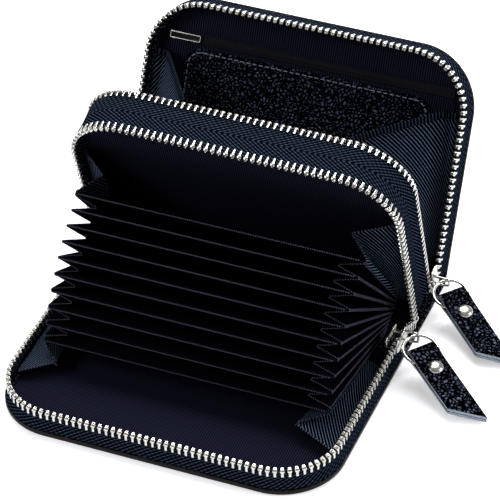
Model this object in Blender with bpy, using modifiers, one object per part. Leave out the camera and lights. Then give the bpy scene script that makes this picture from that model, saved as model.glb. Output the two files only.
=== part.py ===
"""Zip wallet with two zipped compartments, opened.

World: the origin is the middle of the spine's underside. X runs along the spine, the front cover
reaches to -Y, +Z is up and the table is Z = 0.
Each panel is drawn flat, as if it lay in front of its fold line, and is then turned up about it.
"""

import math

import bmesh
import bpy
from mathutils import Matrix, Vector

for stale in list(bpy.data.objects):
    bpy.data.objects.remove(stale)

MM = 0.001

# Overall size
WALL_HALF_WIDTH = 55.6 * MM
WALL_DEPTH = 74.9 * MM
WALL_CORNER = 19.0 * MM
SPINE_HALF_WIDE = 18.75 * MM
LEATHER = 2.0 * MM
LEATHER_REACH = 1.6 * MM
CLEARANCE = 0.3 * MM
CORNER_STEPS = 7

# Fold lines and opening angles, at rest
COVER_FOLD_Z = 1.0 * MM
DIVIDER_FOLD_Z = 4.2 * MM
DIVIDER_OPEN = math.radians(74.5)
BACK_OPEN = math.radians(117.1)

# Covers: the rounded edge is given as (share of its inset, share of the fold's height)
COVER_START = 1.3 * MM
RIM_TOP = 1.6 * MM
RIM_THICK = 1.0 * MM
EDGE_ROUND = 2.2 * MM
EDGE_SHARES = ((1.0, -1.0), (0.45, -0.85), (0.12, -0.35), (0.0, 0.4))
SPINE_ROUND_SHARE = 0.49

# Linings
LINING = 0.5 * MM
LINING_INSET = 1.2 * MM
SPINE_LINING_SIDE = 3.6 * MM
SPINE_LINING_FOLD = 2.4 * MM

# Zip tape and teeth, heights from the fold plane of each panel
TAPE = 0.6 * MM
TAPE_START = 3.0 * MM
COVER_TIP = 8.9 * MM
DIVIDER_TIP = 8.2 * MM
BEAD_DROP = 2.0 * MM
TOOTH_DROP = 1.4 * MM
TOOTH_PITCH = 2.1 * MM
TOOTH_LONG = 1.05 * MM
TEETH_THICK = 1.8 * MM

# Divider: its tapes stand a little short of the covers'
DIVIDER_SHORT = 2.6 * MM
DIVIDER_DEPTH = WALL_DEPTH - DIVIDER_SHORT
DIVIDER_PANEL = 2.0 * MM
DIVIDER_INSET = 1.0 * MM
DIVIDER_ROOT = 0.6 * MM
SEAM_HALF = 0.2 * MM

# Accordion leaves, fanned between the front fold and the divider
LEAF_COUNT = 10
LEAF_ROOM = 7.3 * MM
LEAF_HALF_WIDTH = WALL_HALF_WIDTH - LEAF_ROOM
LEAF_LENGTH = 52.5 * MM
LEAF_THICK = 0.7 * MM
LEAF_CORNER = 2.0 * MM
LEAF_FIRST = math.radians(52.1)
LEAF_LAST = math.radians(10.2)
LEAF_FOLD_GAP = 3.3 * MM
LEAF_DIVIDER_GAP = 3.75 * MM
LEAF_PITCH = (SPINE_HALF_WIDE - LEAF_FOLD_GAP - LEAF_DIVIDER_GAP) / (LEAF_COUNT - 1)
LEAF_SPACING = 1.05 * MM
LEAF_LOWEST = 4.4 * MM
LEAF_OVERLAP_SHARE = 0.4
ROOT_DROP = 0.75 * MM
ROOT_OVER = 0.45 * MM
ROOT_SIDE = 0.5 * MM

# Pleats between the leaves
GUSSET = 0.3 * MM
PLEAT_START = 20.0 * MM
PLEAT_END = LEAF_LENGTH - LEAF_CORNER
PLEAT_STEPS = 3
PLEAT_DEEP = 7.4 * MM
RIDGE_OUT = 0.55 * MM
RIDGE_HALF = 0.75 * MM
APEX_HALF = 0.25 * MM

# Folded side gussets, each from a wall or leaf to a fold that lies further in
GUSSET_ROOM = 1.4 * MM
GUSSET_WALL_X = WALL_HALF_WIDTH - GUSSET_ROOM
LEAF_EDGE_OUT = 0.6 * MM
LEAF_EDGE_OFF = 1.8 * MM
DIVIDER_OFF = 3.0 * MM
COVER_OFF = 4.6 * MM
SIDE_LOW = 9.0 * MM
FRONT_LOW = 14.0 * MM
GUSSET_OVER = 1.1 * MM
GUSSET_HIGH = WALL_DEPTH - WALL_CORNER + GUSSET_OVER
FOLD_HALF = 0.4 * MM
LOW_FOLD_IN = 6.2 * MM
SIDE_FOLD_IN = 9.2 * MM
BACK_FOLD_IN = 16.2 * MM
FOLD_STEPS = 4

# Back cover pockets, each a little smaller than what it is sewn to
POCKET_SIDE = 4.6 * MM
POCKET_SHORT = 14.1 * MM
NOTE_POCKET_SIDE = 7.5 * MM
NOTE_POCKET_SHORT = 1.2 * MM
POCKET_START = 4.0 * MM
POCKET_CORNER = 6.0 * MM
POCKET_HALF_WIDTH = WALL_HALF_WIDTH - POCKET_SIDE
POCKET_TOP = WALL_DEPTH - POCKET_SHORT
NOTE_POCKET_HALF_WIDTH = POCKET_HALF_WIDTH - NOTE_POCKET_SIDE
NOTE_POCKET_TOP = POCKET_TOP - NOTE_POCKET_SHORT
INNER_ZIP_SIDE = 0.5 * MM
INNER_ZIP_HALF_WIDTH = POCKET_HALF_WIDTH - INNER_ZIP_SIDE
INNER_ZIP_WIDE = 3.0 * MM
INNER_PULL_IN = 0.7 * MM
INNER_PULL_LONG = 11.0 * MM
INNER_PULL_EDGE = 0.3 * MM
INNER_PULL_THICK = 1.0 * MM

# Soft ends of the zips
END_HALF_WIDE = 0.9 * MM
END_THICK = 0.8 * MM
END_STEPS = 10
ROW_MIDDLE = 1.9 * MM
END_DROP = 5.5 * MM
END_RUN = 8.0 * MM
END_SAG = 3.0 * MM

# Sliders: the loop's outline is given as (share of its reach, share of its half width)
SLIDER_START = 1.8 * MM
SLIDER_LONG = 6.5 * MM
SLIDER_TALL = 5.4 * MM
SLIDER_PLATE = 0.7 * MM
SLIDER_CHANNEL = 2.4 * MM
SLIDER_ROUND = 0.35 * MM
POST_THICK = 0.8 * MM
POST_LONG = 1.6 * MM
ROW_GAP = 1.65 * MM
LOOP_OUT = 4.6 * MM
LOOP_WIRE = 0.7 * MM
LOOP_HALF = 2.3 * MM
LOOP_SHARES = ((0.6, -1.0), (1.0, -0.6), (1.0, 0.6), (0.6, 1.0))
CROSS_LOOP_AT = 2.8 * MM
LONG_LOOP_AT = 4.4 * MM

# Rings
RING_RADIUS = 5.7 * MM
RING_WIRE = 0.55 * MM
RING_OUT = 4.3 * MM
FRONT_YAW = math.radians(38.5)
FRONT_PITCH = math.radians(13.2)
REAR_YAW = math.radians(40.0)
REAR_PITCH = math.radians(13.4)

# Pull tabs, measured from the ring's middle: the folded end is given as (share of the fold, share of the bulge)
TAB_HALF_WIDTH = 4.8 * MM
TAB_FOLD = 0.9 * MM
TAB_SHORT = 24.6 * MM
TAB_LONG = 33.0 * MM
TAB_HALF_THICK = 1.3 * MM
TAB_HALF_BULGE = 1.9 * MM
TAB_FOLD_SHARES = ((-1.0, 0.0), (-0.75, 0.55), (-0.3, 0.85), (0.6, 1.0))
TAB_BULGE_SHARE = 0.95
TAB_PRESSED_SHARE = 1.2
TAB_AXIS = 4.4 * MM
SLOT_HALF = 0.95 * MM
SLOT_WALL = 1.1 * MM
OVERRUN = 3.0 * MM

# Rivets: each head is given as (share of the head's radius, share of the dome)
RIVET_AT = 9.0 * MM
RIVET_HEAD = 2.4 * MM
RIVET_SHANK = 0.9 * MM
RIVET_DOME = 1.1 * MM
RIVET_BACK_SHARES = ((0.0, -0.5), (0.8, -0.4), (0.85, 0.0))
RIVET_HEAD_SHARES = ((1.0, 0.0), (0.95, 0.35), (0.7, 0.75), (0.36, 0.95), (0.0, 1.0))
RIVET_SIDES = 20
WELD = 0.05 * MM

helpers = bpy.data.collections.new("helpers")
bpy.context.scene.collection.children.link(helpers)
helpers.hide_render = True

# Each panel's fold line as (y, z, turn)
FRONT = (-SPINE_HALF_WIDE, COVER_FOLD_Z, 0.0)
DIVIDER = (0.0, DIVIDER_FOLD_Z, DIVIDER_OPEN)
BACK = (SPINE_HALF_WIDE, COVER_FOLD_Z, BACK_OPEN)
SPINE = (0.0, 0.0, 0.0)

materials = {}


def material(name, colour, roughness, metallic=0.0):
    made = bpy.data.materials.new(name)
    made.use_nodes = True
    shader = made.node_tree.nodes["Principled BSDF"]
    shader.inputs["Base Color"].default_value = (*colour, 1.0)
    shader.inputs["Roughness"].default_value = roughness
    shader.inputs["Metallic"].default_value = metallic
    materials[name] = made


material("pebbled_leather", (0.012, 0.013, 0.018), 0.5)
material("nylon_lining", (0.012, 0.014, 0.024), 0.75)
material("zip_tape", (0.010, 0.013, 0.022), 0.85)
material("nickel", (0.72, 0.70, 0.67), 0.25, 1.0)
material("black_enamel", (0.010, 0.010, 0.012), 0.25)


def finish(obj, colour, frame=SPINE):
    """Own material, and the fold line of its panel as the object's origin."""
    own = materials[colour].copy()
    own.name = obj.name + "_" + colour
    obj.data.materials.clear()
    obj.data.materials.append(own)
    obj.location = (0.0, frame[0], frame[1])
    obj.rotation_euler = (-frame[2], 0.0, 0.0)
    return obj


def mesh_object(name, points, faces, helper=False):
    mesh = bpy.data.meshes.new(name)
    mesh.from_pydata([tuple(point) for point in points], [], faces)
    mesh.update()
    obj = bpy.data.objects.new(name, mesh)
    if helper:
        helpers.objects.link(obj)
        obj.hide_render = True
        obj.display_type = "WIRE"
    else:
        bpy.context.scene.collection.objects.link(obj)
    return obj


def outward(obj):
    work = bmesh.new()
    work.from_mesh(obj.data)
    bmesh.ops.recalc_face_normals(work, faces=work.faces)
    work.to_mesh(obj.data)
    work.free()
    return obj


def solidify(obj, thickness):
    thick = obj.modifiers.new("thickness", "SOLIDIFY")
    thick.thickness = thickness
    thick.offset = 0.0
    thick.use_even_offset = True
    return obj


def boolean(obj, other, operation):
    join = obj.modifiers.new("boolean", "BOOLEAN")
    join.object = other
    join.operation = operation
    join.solver = "EXACT"


def in_world(frame, x, along, height):
    """A point of a turned panel: along from its fold line, height off its fold plane."""
    y, z, turn = frame
    return Vector((
        x,
        y - along * math.cos(turn) + height * math.sin(turn),
        z + along * math.sin(turn) + height * math.cos(turn),
    ))


def flat(x, along, height):
    """The same point in the panel's own frame, before it is turned."""
    return Vector((x, -along, height))


def u_path(half_width, depth, radius, start):
    """Up the left side, round the two far corners and down the right side, as (x, along)."""
    left = []
    for step in range(CORNER_STEPS + 1):
        turn = 0.5 * math.pi * step / CORNER_STEPS
        left.append((-half_width + radius - radius * math.cos(turn), depth - radius + radius * math.sin(turn)))
    path = [(-half_width, start)] + left
    return path + [(-x, along) for x, along in reversed(path)]


def panel(name, path, height, thickness, colour, frame):
    """A flat sheet with this outline, its middle at this height."""
    obj = mesh_object(name, [flat(x, along, height) for x, along in path], [range(len(path))])
    solidify(obj, thickness)
    return finish(obj, colour, frame)


def grid_sheet(name, rows, thickness, colour):
    """A sheet through rows of world points."""
    wide = len(rows[0])
    points = [point for row in rows for point in row]
    faces = []
    for i in range(len(rows) - 1):
        for j in range(wide - 1):
            near, far = i * wide + j, (i + 1) * wide + j
            faces += [(near, near + 1, far + 1), (near, far + 1, far)]
    obj = mesh_object(name, points, faces)
    solidify(obj, thickness)
    return finish(obj, colour)


def ring_loft(name, rings, helper=False):
    """A solid through equal closed rings, capped at both ends."""
    count = len(rings[0])
    points = [point for ring in rings for point in ring]
    faces = [tuple(range(count)), tuple((len(rings) - 1) * count + k for k in range(count))]
    for i in range(len(rings) - 1):
        for k in range(count):
            after = (k + 1) % count
            faces.append((i * count + k, i * count + after, (i + 1) * count + after, (i + 1) * count + k))
    return outward(mesh_object(name, points, faces, helper))


def block(name, low, high, helper=False):
    corners = [(low[0], low[1]), (high[0], low[1]), (high[0], high[1]), (low[0], high[1])]
    rings = [[Vector((x, y, z)) for x, y in corners] for z in (low[2], high[2])]
    return ring_loft(name, rings, helper)


# Spine

spine_half = WALL_HALF_WIDTH + LEATHER_REACH
spine = block("spine_leather", (-spine_half, -SPINE_HALF_WIDE - COVER_FOLD_Z, 0.0),
              (spine_half, SPINE_HALF_WIDE + COVER_FOLD_Z, LEATHER))
spine_round = spine.modifiers.new("rolled folds", "BEVEL")
spine_round.width = SPINE_ROUND_SHARE * LEATHER
spine_round.segments = 3
spine_round.limit_method = "ANGLE"
finish(spine, "pebbled_leather")

lining_half = WALL_HALF_WIDTH - SPINE_LINING_SIDE
lining_reach = SPINE_HALF_WIDE - SPINE_LINING_FOLD
lining_low = LEATHER + CLEARANCE
lining_top = lining_low + LINING
finish(block("spine_lining", (-lining_half, -lining_reach, lining_low), (lining_half, lining_reach, lining_top)),
       "nylon_lining")


# Covers

def cover_leather(name, frame, side):
    """Flat panel with a shallow turned-up rim on its three free sides."""
    rings = []
    half, depth, radius = (value + LEATHER_REACH for value in (WALL_HALF_WIDTH, WALL_DEPTH, WALL_CORNER))
    profile = [(inset * EDGE_ROUND, height * COVER_FOLD_Z) for inset, height in EDGE_SHARES] + [(0.0, RIM_TOP)]
    for inset, height in profile:
        path = u_path(half - inset, depth - inset, radius - inset, COVER_START)
        rings.append([flat(x, along, side * height) for x, along in path])
    obj = ring_loft(name, rings)
    inner = u_path(half - RIM_THICK, depth - RIM_THICK, radius - RIM_THICK, -COVER_START)
    cutter = ring_loft(name + "_hollow", [[flat(x, along, side * height) for x, along in inner]
                                          for height in (LEATHER - COVER_FOLD_Z, 2.0 * RIM_TOP)], helper=True)
    finish(cutter, "pebbled_leather", frame)
    boolean(obj, cutter, "DIFFERENCE")
    return finish(obj, "pebbled_leather", frame)


def wall(name, frame, side, depth, low, high):
    """Zip tape standing round the three free sides of a panel."""
    path = u_path(WALL_HALF_WIDTH, depth, WALL_CORNER, TAPE_START)
    points = [flat(x, along, side * height) for x, along in path for height in (low, high)]
    faces = [(2 * k, 2 * k + 1, 2 * k + 3, 2 * k + 2) for k in range(len(path) - 1)]
    obj = mesh_object(name, points, faces)
    solidify(obj, TAPE)
    return finish(obj, "zip_tape", frame)


def along_path(path, distance):
    """Point at this distance along a polyline of (x, along)."""
    for (x0, v0), (x1, v1) in zip(path, path[1:]):
        length = math.hypot(x1 - x0, v1 - v0)
        if distance <= length:
            share = distance / length
            return (x0 + share * (x1 - x0), v0 + share * (v1 - v0))
        distance -= length
    return path[-1]


def path_length(path):
    return sum(math.hypot(x1 - x0, v1 - v0) for (x0, v0), (x1, v1) in zip(path, path[1:]))


def teeth(name, frame, side, depth, tip):
    """One row of teeth standing on a thin bead along the tape's edge."""
    path = u_path(WALL_HALF_WIDTH, depth, WALL_CORNER, TAPE_START)
    count = int(path_length(path) / TOOTH_PITCH)
    spare = path_length(path) - (count - 1) * TOOTH_PITCH - TOOTH_LONG
    points, faces = [], []
    for k in range(count):
        for offset in (0.0, TOOTH_LONG):
            x, along = along_path(path, 0.5 * spare + k * TOOTH_PITCH + offset)
            for drop in (BEAD_DROP, TOOTH_DROP, 0.0):
                points.append(flat(x, along, side * (tip - drop)))
        first = 6 * k
        faces.append((first, first + 1, first + 4, first + 3))
        faces.append((first + 1, first + 2, first + 5, first + 4))
        if k:
            faces.append((first - 3, first - 2, first + 1, first))
    obj = mesh_object(name, points, faces)
    solidify(obj, TEETH_THICK)
    return finish(obj, "nickel", frame)


def lining(name, frame, side):
    inset = LINING_INSET
    path = u_path(WALL_HALF_WIDTH - inset, WALL_DEPTH - inset, WALL_CORNER - inset, COVER_START + inset)
    height = LEATHER - COVER_FOLD_Z + CLEARANCE + 0.5 * LINING
    return panel(name, path, side * height, LINING, "nylon_lining", frame)


tape_low = LEATHER - COVER_FOLD_Z + CLEARANCE
for label, frame, side in (("front", FRONT, 1.0), ("back", BACK, -1.0)):
    cover_leather(label + "_cover_leather", frame, side)
    lining(label + "_cover_lining", frame, side)
    wall(label + "_cover_tape", frame, side, WALL_DEPTH, tape_low, COVER_TIP - BEAD_DROP - CLEARANCE)
    teeth(label + "_cover_teeth", frame, side, WALL_DEPTH, COVER_TIP)


# Divider

divider_path = u_path(WALL_HALF_WIDTH - DIVIDER_INSET, DIVIDER_DEPTH - DIVIDER_INSET, WALL_CORNER - DIVIDER_INSET,
                      -DIVIDER_ROOT)
panel("divider_panel", divider_path, 0.0, DIVIDER_PANEL, "nylon_lining", DIVIDER)
for label, side in (("front", -1.0), ("rear", 1.0)):
    wall("divider_tape_" + label, DIVIDER, side, DIVIDER_DEPTH, SEAM_HALF, DIVIDER_TIP - BEAD_DROP - CLEARANCE)
    teeth("divider_teeth_" + label, DIVIDER, side, DIVIDER_DEPTH, DIVIDER_TIP)


# Accordion leaves, leaf_1 next to the divider and leaf_10 next to the front cover

leaves = []
hinge_y, hinge_z = LEAF_FOLD_GAP - SPINE_HALF_WIDE, LEAF_LOWEST
for k in range(LEAF_COUNT):
    turn = LEAF_LAST + (LEAF_FIRST - LEAF_LAST) * k / (LEAF_COUNT - 1)
    leaves.append((hinge_y, hinge_z, turn))
    hinge_y += LEAF_PITCH
    hinge_z += max(0.0, (LEAF_SPACING - LEAF_PITCH * math.sin(turn)) / math.cos(turn))
leaves.reverse()

leaf_outline = u_path(LEAF_HALF_WIDTH, LEAF_LENGTH, LEAF_CORNER, -LEAF_OVERLAP_SHARE * LEAF_THICK)
for k, frame in enumerate(leaves):
    panel(f"leaf_{k + 1}", leaf_outline, 0.0, LEAF_THICK, "nylon_lining", frame)

root_low = lining_top + CLEARANCE
root_half = LEAF_HALF_WIDTH - ROOT_SIDE
root_top = [(y, z - ROOT_DROP) for y, z, _ in reversed(leaves)]
profile = [(root_top[0][0] - ROOT_OVER, root_low), (root_top[0][0] - ROOT_OVER, root_top[0][1])] + root_top
profile += [(root_top[-1][0] + ROOT_OVER, root_top[-1][1]), (root_top[-1][0] + ROOT_OVER, root_low)]
finish(ring_loft("leaf_root", [[Vector((x, y, z)) for y, z in profile] for x in (-root_half, root_half)]),
       "nylon_lining")


# Pleated gussets between the leaves

def pleats(name, hand):
    rows = []
    for step in range(PLEAT_STEPS + 1):
        reach = PLEAT_START + (PLEAT_END - PLEAT_START) * step / PLEAT_STEPS
        row = []
        for k, frame in enumerate(leaves):
            ridge_x = hand * (LEAF_HALF_WIDTH + RIDGE_OUT)
            row.append(in_world(frame, ridge_x, reach, RIDGE_HALF))
            row.append(in_world(frame, ridge_x, reach, -RIDGE_HALF))
            if k + 1 < len(leaves):
                middle = 0.5 * (in_world(frame, 0.0, reach, 0.0) + in_world(leaves[k + 1], 0.0, reach, 0.0))
                middle.x = hand * (LEAF_HALF_WIDTH + RIDGE_OUT - PLEAT_DEEP)
                up = in_world(frame, 0.0, reach, APEX_HALF) - in_world(frame, 0.0, reach, 0.0)
                row += [middle + up, middle - up]
        rows.append(row)
    return grid_sheet(name, rows, GUSSET, "nylon_lining")


def folded(name, first, second, fold_x):
    """A gusset of two panels: first and second give its edges as (low point, high point), in the world."""
    rows = []
    for step in range(FOLD_STEPS + 1):
        share = step / FOLD_STEPS
        a = first[0].lerp(first[1], share)
        c = second[0].lerp(second[1], share)
        middle = 0.5 * (a + c)
        middle.x = fold_x[0] + (fold_x[1] - fold_x[0]) * share
        apart = (c - a) * (FOLD_HALF / (c - a).length)
        rows.append([a, middle - apart, middle + apart, c])
    return grid_sheet(name, rows, GUSSET, "nylon_lining")


def edge(frame, x, low, high, height):
    """A gusset's sewn edge along a panel, as (low point, high point)."""
    return in_world(frame, x, low, height), in_world(frame, x, high, height)


low_fold, side_fold, back_fold = (GUSSET_WALL_X - inward for inward in (LOW_FOLD_IN, SIDE_FOLD_IN, BACK_FOLD_IN))
for label, hand in (("left", -1.0), ("right", 1.0)):
    wall_x, leaf_x = hand * GUSSET_WALL_X, hand * (LEAF_HALF_WIDTH + LEAF_EDGE_OUT)
    pleats("leaf_gusset_" + label, hand)
    folded("divider_gusset_" + label, edge(DIVIDER, wall_x, SIDE_LOW, PLEAT_END, -DIVIDER_OFF),
           edge(leaves[0], leaf_x, FRONT_LOW, PLEAT_END, LEAF_EDGE_OFF), (hand * low_fold, hand * side_fold))
    folded("front_gusset_" + label, edge(leaves[-1], leaf_x, FRONT_LOW, PLEAT_END, -LEAF_EDGE_OFF),
           edge(FRONT, wall_x, FRONT_LOW, GUSSET_HIGH, COVER_OFF), (hand * low_fold, hand * side_fold))
    folded("back_gusset_" + label, edge(DIVIDER, wall_x, SIDE_LOW, GUSSET_HIGH, DIVIDER_OFF),
           edge(BACK, wall_x, SIDE_LOW, GUSSET_HIGH, -COVER_OFF), (hand * low_fold, hand * back_fold))


# Back cover pockets

pocket_height = LEATHER - COVER_FOLD_Z + 2.0 * CLEARANCE + 1.5 * LINING
panel("back_slip_pocket", u_path(POCKET_HALF_WIDTH, POCKET_TOP, LEAF_CORNER, POCKET_START), -pocket_height, LINING,
      "nylon_lining", BACK)
note_height = pocket_height + CLEARANCE + LINING
panel("back_note_pocket", u_path(NOTE_POCKET_HALF_WIDTH, NOTE_POCKET_TOP, POCKET_CORNER, POCKET_START), -note_height,
      LINING, "nylon_lining", BACK)
inner_low = POCKET_TOP + CLEARANCE
inner_high = inner_low + INNER_ZIP_WIDE
panel("inner_pocket_zip", [(-INNER_ZIP_HALF_WIDTH, inner_low), (-INNER_ZIP_HALF_WIDTH, inner_high),
                           (INNER_ZIP_HALF_WIDTH, inner_high), (INNER_ZIP_HALF_WIDTH, inner_low)],
      -pocket_height, LINING, "zip_tape", BACK)
pull_low, pull_high = inner_low + INNER_PULL_EDGE, inner_high - INNER_PULL_EDGE
pull_height = pocket_height + 0.5 * LINING + CLEARANCE + 0.5 * INNER_PULL_THICK
pull_left = INNER_PULL_IN - INNER_ZIP_HALF_WIDTH
pull_right = pull_left + INNER_PULL_LONG
panel("inner_pocket_pull", [(pull_left, pull_low), (pull_left, pull_high), (pull_right, pull_high),
                            (pull_right, pull_low)],
      -pull_height, INNER_PULL_THICK, "black_enamel", BACK)


# Soft ends of the zips, where each pair of tapes still meets beside the spine

def zip_end(name, hand, route):
    """A short strip as wide as a row of teeth, along (y, z) points with their directions."""
    rows = []
    for point, ahead in route:
        across = Vector((0.0, -ahead.y, ahead.x)).normalized() * END_HALF_WIDE
        centre = Vector((hand * WALL_HALF_WIDTH, point.x, point.y))
        rows.append([centre - across, centre + across])
    return grid_sheet(name, rows, END_THICK, "zip_tape")


def curved(start, bend_1, bend_2, end):
    """Points and directions, in the plane across the spine, of a curve drawn from start to end by two bends."""
    p0, p1, p2, p3 = (Vector((point.y, point.z)) for point in (start, bend_1, bend_2, end))
    route = []
    for step in range(END_STEPS + 1):
        t = step / END_STEPS
        point = (1 - t) ** 3 * p0 + 3 * t * (1 - t) ** 2 * p1 + 3 * t * t * (1 - t) * p2 + t ** 3 * p3
        ahead = (1 - t) ** 2 * (p1 - p0) + 2 * t * (1 - t) * (p2 - p1) + t * t * (p3 - p2)
        route.append((point, ahead))
    return route


tape_end = TAPE_START - CLEARANCE
for label, hand in (("left", -1.0), ("right", 1.0)):
    top = in_world(DIVIDER, 0.0, tape_end, ROW_MIDDLE - DIVIDER_TIP)
    bend = in_world(DIVIDER, 0.0, tape_end - END_DROP, ROW_MIDDLE - DIVIDER_TIP)
    turn = in_world(FRONT, 0.0, tape_end - END_RUN, COVER_TIP - ROW_MIDDLE)
    low = in_world(FRONT, 0.0, tape_end, COVER_TIP - ROW_MIDDLE)
    zip_end("front_zip_end_" + label, hand, curved(top, bend, turn, low))
    top = in_world(DIVIDER, 0.0, tape_end, DIVIDER_TIP - ROW_MIDDLE)
    bend = in_world(DIVIDER, 0.0, tape_end - END_SAG, DIVIDER_TIP - ROW_MIDDLE)
    turn = in_world(BACK, 0.0, tape_end - END_SAG, ROW_MIDDLE - COVER_TIP)
    low = in_world(BACK, 0.0, tape_end, ROW_MIDDLE - COVER_TIP)
    zip_end("rear_zip_end_" + label, hand, curved(top, bend, turn, low))


# Sliders

def slider(name, frame, side, tip, loop_lengthways):
    """Two plates astride the rows, the post between the rows, and a standing loop for the ring."""
    middle = tip + 0.5 * ROW_GAP
    low, high = middle - 0.5 * SLIDER_TALL, middle + 0.5 * SLIDER_TALL
    inner = WALL_HALF_WIDTH - 0.5 * SLIDER_CHANNEL
    outer = WALL_HALF_WIDTH + 0.5 * SLIDER_CHANNEL
    end = SLIDER_START + SLIDER_LONG

    def piece(suffix, x0, x1, v0, v1, h0, h1, helper):
        heights = sorted((side * h0, side * h1))
        return block(name + suffix, (x0, -v1, heights[0]), (x1, -v0, heights[1]), helper)

    obj = piece("", outer, outer + SLIDER_PLATE, SLIDER_START, end, low, high, False)
    soft = obj.modifiers.new("soft corners", "BEVEL")
    soft.width = SLIDER_ROUND
    soft.segments = 2
    joined = [piece("_inner", inner - SLIDER_PLATE, inner, SLIDER_START, end, low, high, True)]
    joined.append(piece("_post", inner - 0.5 * SLIDER_PLATE, outer + 0.5 * SLIDER_PLATE,
                        SLIDER_START + SLIDER_ROUND, SLIDER_START + SLIDER_ROUND + POST_LONG,
                        middle - 0.5 * POST_THICK, middle + 0.5 * POST_THICK, True))
    foot, plate_x = outer + 0.5 * SLIDER_PLATE, outer + SLIDER_PLATE
    outline = []
    for reach, half in ((LOOP_OUT, LOOP_HALF), (LOOP_OUT - LOOP_WIRE, LOOP_HALF - LOOP_WIRE)):
        arc = [(foot, -half)] + [(plate_x + out * reach, span * half) for out, span in LOOP_SHARES] + [(foot, half)]
        outline += arc if not outline else reversed(arc)
    rings = []
    for wire in (-0.5 * LOOP_WIRE, 0.5 * LOOP_WIRE):
        if loop_lengthways:
            rings.append([flat(x, LONG_LOOP_AT + span, side * (middle + wire)) for x, span in outline])
        else:
            rings.append([flat(x, CROSS_LOOP_AT + wire, side * (middle + span)) for x, span in outline])
    joined.append(ring_loft(name + "_loop", rings, helper=True))
    for other in joined:
        finish(other, "nickel", frame)
        boolean(obj, other, "UNION")
    return finish(obj, "nickel", frame)


slider("front_slider", FRONT, 1.0, COVER_TIP, False)
slider("rear_slider", DIVIDER, 1.0, DIVIDER_TIP, True)


# Rings, folded pull tabs and rivets

def lathe(name, outline):
    """A solid turned from (radius, height) points that start and end on the axis."""
    mesh = bpy.data.meshes.new(name)
    mesh.from_pydata([(radius, 0.0, height) for radius, height in outline],
                     [(k, k + 1) for k in range(len(outline) - 1)], [])
    obj = bpy.data.objects.new(name, mesh)
    bpy.context.scene.collection.objects.link(obj)
    turned = obj.modifiers.new("turned", "SCREW")
    turned.steps = RIVET_SIDES
    turned.render_steps = RIVET_SIDES
    turned.use_merge_vertices = True
    turned.merge_threshold = WELD
    turned.use_normal_flip = True
    return obj


def ring_start(frame, tip, loop_at):
    """Where the ring hangs in its slider's loop."""
    return in_world(frame, WALL_HALF_WIDTH + RING_OUT, loop_at, tip + 0.5 * ROW_GAP)


def pull(label, start, yaw, pitch):
    ahead = Vector((math.cos(yaw) * math.cos(pitch), -math.sin(yaw) * math.cos(pitch), -math.sin(pitch)))
    across = Vector((math.sin(yaw), math.cos(yaw), 0.0))
    turned = Matrix((ahead, across, ahead.cross(across))).transposed()

    def joint(name, distance):
        """An empty on a joint's axis, this far ahead of where the ring hangs."""
        empty = bpy.data.objects.new(label + name, None)
        helpers.objects.link(empty)
        empty.matrix_world = Matrix.LocRotScale(start + distance * ahead, turned, None)
        return empty

    def put(obj, empty, offset):
        obj.location = (offset, 0.0, 0.0)
        obj.rotation_euler = (0.0, 0.0, 0.0)
        obj.parent = empty

    ring_joint = joint("_ring_axis", 0.0)
    tab_joint = joint("_tab_axis", RING_RADIUS + TAB_AXIS)

    bpy.ops.mesh.primitive_torus_add(major_radius=RING_RADIUS, minor_radius=RING_WIRE, major_segments=28,
                                     minor_segments=8, location=(0.0, 0.0, 0.0))
    ring = bpy.context.object
    ring.name = label + "_ring"
    finish(ring, "nickel")
    put(ring, ring_joint, RING_RADIUS)

    top = [(fold * TAB_FOLD, bulge * TAB_HALF_BULGE) for fold, bulge in TAB_FOLD_SHARES]
    top += [(TAB_BULGE_SHARE * RING_RADIUS, TAB_HALF_BULGE), (TAB_PRESSED_SHARE * RING_RADIUS, TAB_HALF_THICK),
            (TAB_LONG, TAB_HALF_THICK)]
    contour = top + [(d, -t) for d, t in reversed(top[1:])]
    rings = []
    for s, end in ((-TAB_HALF_WIDTH, TAB_SHORT), (TAB_HALF_WIDTH, TAB_LONG)):
        rings.append([Vector((min(d, end), s, t)) for d, t in contour])
    tab = ring_loft(label + "_pull_tab", rings)
    slot_side, hole_half = TAB_HALF_WIDTH + OVERRUN, TAB_HALF_BULGE + OVERRUN
    slot = block(label + "_slot", (SLOT_WALL - TAB_FOLD, -slot_side, -SLOT_HALF),
                 (RING_RADIUS + RING_WIRE + CLEARANCE, slot_side, SLOT_HALF), helper=True)
    hole = ring_loft(label + "_rivet_hole", [
        [Vector((RIVET_AT + radius * math.cos(turn), radius * math.sin(turn), height))
         for turn in (2.0 * math.pi * k / RIVET_SIDES for k in range(RIVET_SIDES))]
        for radius, height in ((RIVET_SHANK + CLEARANCE, -hole_half), (RIVET_SHANK + CLEARANCE, hole_half))],
        helper=True)
    for cutter in (slot, hole):
        boolean(tab, cutter, "DIFFERENCE")
    finish(tab, "pebbled_leather")
    for obj in (tab, slot, hole):
        put(obj, tab_joint, -TAB_AXIS)

    seat = TAB_HALF_THICK + CLEARANCE
    outline = [(radius * RIVET_HEAD, height * RIVET_DOME - seat) for radius, height in RIVET_BACK_SHARES]
    outline += [(RIVET_SHANK, -seat), (RIVET_SHANK, seat)]
    outline += [(radius * RIVET_HEAD, height * RIVET_DOME + seat) for radius, height in RIVET_HEAD_SHARES]
    rivet = lathe(label + "_rivet", outline)
    finish(rivet, "nickel")
    put(rivet, tab_joint, RIVET_AT - TAB_AXIS)


pull("front", ring_start(FRONT, COVER_TIP, CROSS_LOOP_AT), FRONT_YAW, FRONT_PITCH)
pull("rear", ring_start(DIVIDER, DIVIDER_TIP, LONG_LOOP_AT), REAR_YAW, REAR_PITCH)
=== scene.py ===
"""Zip wallet with two zipped compartments, opened: the dressed model, put together as the wallet is sewn."""

import math

import bmesh
import bpy
from mathutils import Matrix, Vector


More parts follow.
